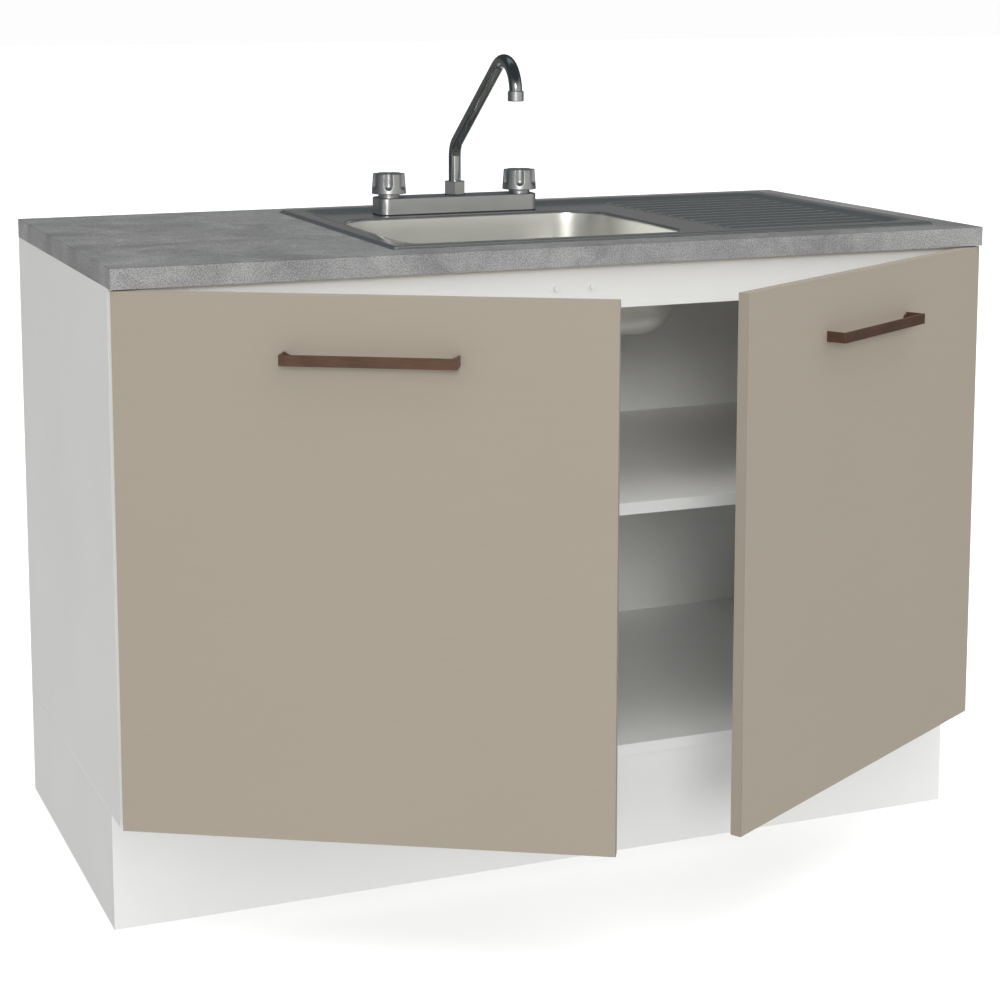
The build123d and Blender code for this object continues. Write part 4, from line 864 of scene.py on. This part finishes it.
def spout_route(tap):
    """The corners of the spout's route, from inside the body to just above the aerator."""
    low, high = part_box("spout_tube")
    nozzle = middle("aerator")
    stem = middle("spout_nut")
    tip_y = nozzle.y
    hook_y = tip_y + tap.hook
    arc_y = hook_y + tap.hook * math.sin(tap.rise)
    hook_z = high.z - tap.tube_radius - tap.hook
    arc_z = hook_z + tap.hook * math.cos(tap.rise)
    corner_z = arc_z - (stem.y - arc_y) * math.tan(tap.rise)
    apex_z = corner_z + (stem.y - tip_y) * math.tan(tap.rise)
    end_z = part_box("aerator")[1].z - 10 * MM
    return [(stem.x, stem.y, low.z), (stem.x, stem.y, corner_z),
            (stem.x, tip_y, apex_z), (stem.x, tip_y, end_z)]


# ------------------------------------------------------------------ studio

FLOOR_HALF = 40.0
# The camera was solved from the cabinet's straight edges; the shift stands in for part of the
# tilt, which keeps the uprights almost parallel as in the photograph.
CAMERA_PLACE = (-1.147, -2.854, 1.164)
CAMERA_TURN = (math.radians(81.94), 0, math.radians(-22.04))
CAMERA_SHIFT = (0.0022, -0.2)


def studio_world(given):
    """The studio: pale to the eye, even for light, and dusk with strip lamps for gloss."""
    world = bpy.data.worlds.new("studio")
    world.use_nodes = True
    tree = world.node_tree
    tree.nodes.clear()
    aim = add(tree, "ShaderNodeTexCoord").outputs["Generated"]
    way = add(tree, SPLIT, {0: aim}).outputs
    smooth = {"interpolation_type": "SMOOTHSTEP"}
    # Each mask goes from 0 to 1 along one axis of the direction: x right, y back, z up.
    masks = {}
    for name, axis, nought, whole in (
            ("above floor", 2, 0.1, 0.25), ("below top", 2, 0.8, 0.65), ("down", 2, 0.0, -0.12),
            ("front", 1, 0.35, -0.75), ("not overhead", 2, 0.6, 0.15),
            ("not under", 2, -0.4, -0.15), ("behind", 1, 0.5, 0.85), ("low", 2, 0.3, 0.14),
            ("zenith", 2, 0.76, 0.93), ("rearward", 1, 0.0, 0.3), ("floor", 2, -0.18, -0.3),
            ("back of room", 1, 0.3, 0.6), ("not left", 0, -0.35, -0.1)):
        masks[name] = add(tree, RANGE, {"Value": way[axis], "From Min": nought,
                                        "From Max": whole}, **smooth)
    masks["less to the left"] = add(tree, RANGE, {"Value": way[0], "From Min": -0.9,
                                                  "From Max": -0.3, "To Min": 0.4}, **smooth)
    for name, first, second in (
            ("sky band", "above floor", "below top"), ("level band", "not overhead", "not under"),
            ("ahead", "front", "less to the left"), ("facing", "ahead", "level band"),
            ("horizon", "behind", "low"), ("pale", "zenith", "rearward"),
            ("far floor", "floor", "back of room"), ("floor seen", "far floor", "not left")):
        masks[name] = add(tree, MATHS, {0: masks[first], 1: masks[second]}, operation="MULTIPLY")
    # Light: a bright ground, and a soft band of sky above the floor, stronger in front.
    side = add(tree, RANGE, {"Value": way[0], "From Min": -0.8, "From Max": 0.0,
                             "To Min": given.left_sky, "To Max": given.front_sky}, **smooth)
    sky = add(tree, MIX, {0: masks["sky band"], 2: given.thin_sky, 3: side})
    even = add(tree, MIX, {0: masks["down"], 2: sky, 3: given.ground})
    # Gloss: dark slate, with a paler zenith, a grey horizon and floor behind, pale in front.
    gloss = linear("#454E54")
    for name, tint in (("pale", "#A0A6A9"), ("horizon", "#6E6F6E"), ("floor seen", "#C4C4C2"),
                       ("facing", "#D9D8D3")):
        gloss = add(tree, MIX, {0: masks[name], 6: gloss, 7: linear(tint)}, **TINTED).outputs[2]
    # Upright strip lamps, all in degrees: how far right of the front, half width, soft edge.
    flat = add(tree, VECTOR, {0: aim, 1: (1.0, 1.0, 0.0)}, operation="MULTIPLY")
    level = add(tree, VECTOR, {0: flat}, operation="NORMALIZE")
    for turn, wide, soft, power in ((-20, 3.5, 5.5, 1.1), (-62, 5.0, 8.0, 0.25)):
        toward = (math.sin(math.radians(turn)), -math.cos(math.radians(turn)), 0.0)
        near = add(tree, VECTOR, {0: level, 1: toward}, operation="DOT_PRODUCT")
        strip = add(tree, RANGE, {"Value": near.outputs["Value"],
                                  "From Min": math.cos(math.radians(wide + soft)),
                                  "From Max": math.cos(math.radians(wide)),
                                  "To Max": power}, **smooth)
        lit = add(tree, MATHS, {0: strip, 1: masks["not overhead"]}, operation="MULTIPLY")
        glow = add(tree, JOIN, {0: lit, 1: lit, 2: lit})
        gloss = add(tree, VECTOR, {0: gloss, 1: glow}, operation="ADD").outputs[0]
    ray = add(tree, "ShaderNodeLightPath").outputs
    around = add(tree, "ShaderNodeBackground", {"Color": (1.0, 1.0, 1.0, 1.0), "Strength": even})
    mirrored = add(tree, "ShaderNodeBackground", {"Color": gloss, "Strength": 1.0})
    seen = add(tree, "ShaderNodeBackground", {"Color": linear("#FDFDFD"), "Strength": 1.0})
    either = add(tree, "ShaderNodeMixShader", {0: ray["Is Glossy Ray"], 1: around, 2: mirrored})
    final = add(tree, "ShaderNodeMixShader", {0: ray["Is Camera Ray"], 1: either, 2: seen})
    add(tree, "ShaderNodeOutputWorld", {"Surface": final})
    return world


# ------------------------------------------------------------------ operators

class SINKUNIT_OT_boards(bpy.types.Operator):
    """Eases and finishes the cabinet's boards and its plinth"""
    bl_idname = "sink_unit.boards"
    bl_label = "Boards"

    def execute(self, context):
        given = context.scene.sink_unit.boards
        white = melamine_white(given.white)
        for node in ("left_side_panel", "right_side_panel", "bottom_panel", "front_rail",
                     "back_rail", "shelf", "plinth_front", "plinth_back", "plinth_left",
                     "plinth_right", "plinth_centre"):
            eased_copy(node, white, "white_melamine", "cabinet", given.edge_ease, LONG_EDGE)
        finish_node(painted_hardboard(given.white), "back_panel")
        return {"FINISHED"}


class SINKUNIT_OT_worktop(bpy.types.Operator):
    """Finishes the worktop's core, laminate and edging"""
    bl_idname = "sink_unit.worktop"
    bl_label = "Worktop"

    def execute(self, context):
        given = context.scene.sink_unit.worktop
        top = concrete_laminate(given.top_grey, "laminate_concrete_top", 0.9)
        edge = concrete_laminate(given.edge_grey, "edging_concrete_print", 1.0)
        for node, finish in (("worktop_laminate", top), ("worktop_edging", edge)):
            eased_copy(node, finish, "concrete_laminate", "cabinet", given.edge_ease, LONG_EDGE)
        finish_node(raw_chipboard(), "worktop_core")
        return {"FINISHED"}


class SINKUNIT_OT_sink(bpy.types.Operator):
    """Makes the sink's pressed deck with its drainer ribs, and the drawn bowl"""
    bl_idname = "sink_unit.sink"
    bl_label = "Sink"

    def execute(self, context):
        given = context.scene.sink_unit.sink
        deck = sheet_steel(given.steel, "stainless_sheet_deck", 0.17, 0.93, 0.2)
        bowl = sheet_steel(given.bowl_steel, "stainless_sheet_bowl", 0.34, 0.88, 0.03)
        sheet_piece("sink_deck_pressed", deck_form(), deck, "stainless_deck", "sink_deck",
                    given.sheet)
        sheet_piece("sink_bowl_drawn", bowl_form(), bowl, "stainless_bowl", "sink_bowl",
                    given.sheet)
        values = {"Count": given.rib_count, "Spacing": given.rib_spacing,
                  "Length": RIB_LENGTH * MM, "Shortening": RIB_SHORTENING * MM,
                  "Height": given.rib_height, "Half width": given.rib_half_width,
                  "Taper": RIB_TAPER * MM, "Root": RIB_ROOT * MM,
                  "First": Vector((RIB_ENDS_X, FIRST_RIB_Y, DECK_Z)) * MM}
        carrier = bpy.data.objects.new("ribs", bpy.data.meshes.new("ribs"))
        mesh = grown_mesh(rib_tree(deck), carrier, values)
        mesh.shade_smooth()
        new_piece("drainer_ribs", mesh, deck, "stainless_deck", "cabinet")
        return {"FINISHED"}


class SINKUNIT_OT_waste(bpy.types.Operator):
    """Finishes the waste, the basket and the trap"""
    bl_idname = "sink_unit.waste"
    bl_label = "Waste and trap"

    def execute(self, context):
        given = context.scene.sink_unit.sink
        turned = sheet_steel(given.steel, "stainless_spun_waste", 0.22, 0.93, 0.1)
        finish_node(turned, "waste_flange", "strainer_basket")
        pipe = moulded("polypropylene_white", "#DADAD6", "#ECECE9", 0.38, 0.1, 1.6667)
        finish_node(pipe, "waste_body", "trap_inlet_pipe", "trap_nuts", "trap_body", "trap_cup",
                    "trap_outlet_pipe")
        seal = moulded("rubber_black", "#1C1D1E", "#2B2C2D", 0.68, 0.2, 1.4286)
        finish_node(seal, "sink_seal", "waste_gasket", "tap_gaskets")
        return {"FINISHED"}


class SINKUNIT_OT_tap(bpy.types.Operator):
    """Makes the mixer tap's body, knobs, spout, nut and aerator"""
    bl_idname = "sink_unit.tap"
    bl_label = "Tap"

    def execute(self, context):
        given = context.scene.sink_unit.tap
        chrome = chromed_brass(shade(given.chrome, 0.9), "chrome_plated_castings", 0.38)
        # The tube's chrome is the castings' chrome painted darker (0.68 against 0.9 of the set
        # chrome): painted shade for the dark surroundings the tube mirrors.
        bright = chromed_brass(shade(given.chrome, 0.68), "chrome_plated_tube", 0.08)
        eased_copy("tap_body", chrome, "tap_chrome", "cabinet", given.edge_ease)
        eased_copy("spout_nut", chrome, "tap_chrome", "cabinet", given.edge_ease)
        eased_copy("aerator", chrome, "tap_chrome", "spout", given.edge_ease)
        for side in ("hot", "cold"):
            low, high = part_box(side + "_knob")
            form = knob_form(middle(side + "_knob"), low.z, high.z, given.flutes)
            body = side + "_tap_knob"
            new_piece(side + "_knob_fluted", mesh_from(form, "knob", math.radians(50)), chrome,
                      "tap_chrome", body, side + "_knob")
            eased_copy(side + "_cap", chrome, "tap_chrome", body, given.edge_ease)
        curve = bpy.data.curves.new("route", "CURVE")
        curve.dimensions = "3D"
        line = curve.splines.new("POLY")
        corners = spout_route(given)
        line.points.add(len(corners) - 1)
        for point, corner in zip(line.points, corners):
            point.co = (*corner, 1.0)
        values = {"Tube radius": given.tube_radius, "Low bend": given.low_bend, "Hook": given.hook}
        mesh = grown_mesh(spout_tree(bright), bpy.data.objects.new("route", curve), values)
        mesh.shade_smooth()
        mesh.set_sharp_from_angle(angle=math.radians(50))
        new_piece("spout_bent_tube", mesh, bright, "tap_chrome", "spout", "spout_tube")
        finish_node(chrome, "valve_cartridges")
        finish_node(turned_brass(), "tap_tails", "tail_nuts")
        mesh_grey = moulded("acetal_grey", "#6E7072", "#85878A", 0.45, 0.1, 1.1111)
        finish_node(mesh_grey, "aerator_insert")
        return {"FINISHED"}


class SINKUNIT_OT_doors(bpy.types.Operator):
    """Eases and finishes the doors and their handles"""
    bl_idname = "sink_unit.doors"
    bl_label = "Doors"

    def execute(self, context):
        given = context.scene.sink_unit.doors
        foil = door_lacquer(given.door_colour, given.back_paper)
        coat = handle_coat(given.handle_colour)
        for side in ("left", "right"):
            body = side + "_door"
            eased_copy(body + "_panel", foil, "beige_door", body, given.edge_ease, LONG_EDGE)
            eased_copy(side + "_handle", coat, "copper_handle", body, given.handle_ease)
        return {"FINISHED"}


class SINKUNIT_OT_fittings(bpy.types.Operator):
    """Finishes hinges, screws, dowels, brackets, clips and bumpers"""
    bl_idname = "sink_unit.fittings"
    bl_label = "Fittings"

    def execute(self, context):
        finish_node(zinc_plate(), "shelf_pins", "cam_locks", "cam_bolts", "worktop_brackets",
                    "chipboard_screws", "sink_clips", "waste_screw", "left_door_screws",
                    "right_door_screws", "left_hinge_cups", "right_hinge_cups", "hinge_arms",
                    "hinge_plates", "hinge_pins")
        finish_node(turned_beech(), "dowels")
        clear = moulded("rubber_clear", "#ECEDEB", "#F6F6F5", 0.4, 0.1, 1.6667)
        finish_node(clear, "door_bumpers")
        return {"FINISHED"}


class SINKUNIT_OT_stage(bpy.types.Operator):
    """Makes the floor, the studio light and the camera"""
    bl_idname = "sink_unit.stage"
    bl_label = "Stage"

    def execute(self, context):
        given = context.scene.sink_unit.stage
        scene = context.scene
        form = bmesh.new()
        bmesh.ops.create_grid(form, x_segments=2, y_segments=2, size=FLOOR_HALF)
        floor = bpy.data.objects.new("floor", mesh_from(form, "floor"))
        material, tree, place = start_finish("floor_painted_white")
        drift = add(tree, NOISE, {"Vector": place, "Scale": per_metre(1250), "Detail": 2.0})
        blend = add(tree, MIX, {0: drift, 6: linear("#F7F7F7"), 7: linear("#FAFAFA")}, **TINTED)
        end_finish(tree, {"Base Color": blend.outputs[2], "Roughness": 0.9,
                          "Specular IOR Level": 0.1, "Emission Color": (1.0, 1.0, 1.0, 1.0),
                          "Emission Strength": 0.3})
        floor.data.materials.append(material)
        scene.collection.objects.link(floor)

        floor.visible_diffuse = False
        floor.visible_glossy = False

        for name, strength, elevation, turn, spread, mirrored in (
                ("front_light", given.key, 17, -21, 14, True),
                ("top_light", given.top, 80, 20, 60, False)):
            lamp = bpy.data.lights.new(name, "SUN")
            lamp.energy = strength
            lamp.angle = math.radians(spread)
            light = bpy.data.objects.new(name, lamp)
            light.rotation_euler = (math.radians(90 - elevation), 0, math.radians(turn))
            light.visible_glossy = mirrored
            scene.collection.objects.link(light)
        scene.world = studio_world(given)

        lens = bpy.data.cameras.new("camera")
        lens.lens = given.lens
        lens.sensor_width = 36.0
        lens.shift_x, lens.shift_y = CAMERA_SHIFT
        lens.clip_end = 5 * FLOOR_HALF
        camera = bpy.data.objects.new("camera", lens)
        camera.location = CAMERA_PLACE
        camera.rotation_euler = CAMERA_TURN
        scene.collection.objects.link(camera)
        scene.camera = camera
        scene.view_settings.view_transform = "Standard"
        return {"FINISHED"}


OPERATORS = (SINKUNIT_OT_boards, SINKUNIT_OT_worktop, SINKUNIT_OT_sink, SINKUNIT_OT_waste,
             SINKUNIT_OT_tap, SINKUNIT_OT_doors, SINKUNIT_OT_fittings, SINKUNIT_OT_stage)


class SINKUNIT_PT_pieces(bpy.types.Panel):
    """Lists the operators and the settings of the sink unit"""
    bl_idname = "SINKUNIT_PT_pieces"
    bl_label = "Sink unit"
    bl_space_type = "VIEW_3D"
    bl_region_type = "UI"
    bl_category = "Sink unit"

    def draw(self, context):
        for operator in OPERATORS:
            self.layout.operator(operator.bl_idname)
        for group_name in SinkUnitSettings.__annotations__:
            group = getattr(context.scene.sink_unit, group_name)
            box = self.layout.box()
            for name in type(group).__annotations__:
                box.prop(group, name)


SETTINGS = (BoardSettings, WorktopSettings, DoorSettings, SinkSettings, TapSettings,
            StageSettings, SinkUnitSettings)


def register():
    """Registers the settings, the operators and the panel."""
    for kind in SETTINGS + OPERATORS + (SINKUNIT_PT_pieces,):
        bpy.utils.register_class(kind)
    bpy.types.Scene.sink_unit = PointerProperty(type=SinkUnitSettings)


def unregister():
    """Takes away what register added."""
    del bpy.types.Scene.sink_unit
    for kind in reversed(SETTINGS + OPERATORS + (SINKUNIT_PT_pieces,)):
        bpy.utils.unregister_class(kind)


def main():
    """Makes every piece and the stage."""
    register()
    for operator in OPERATORS:
        group, name = operator.bl_idname.split(".")
        getattr(getattr(bpy.ops, group), name)()


if __name__ == "__main__":
    main()
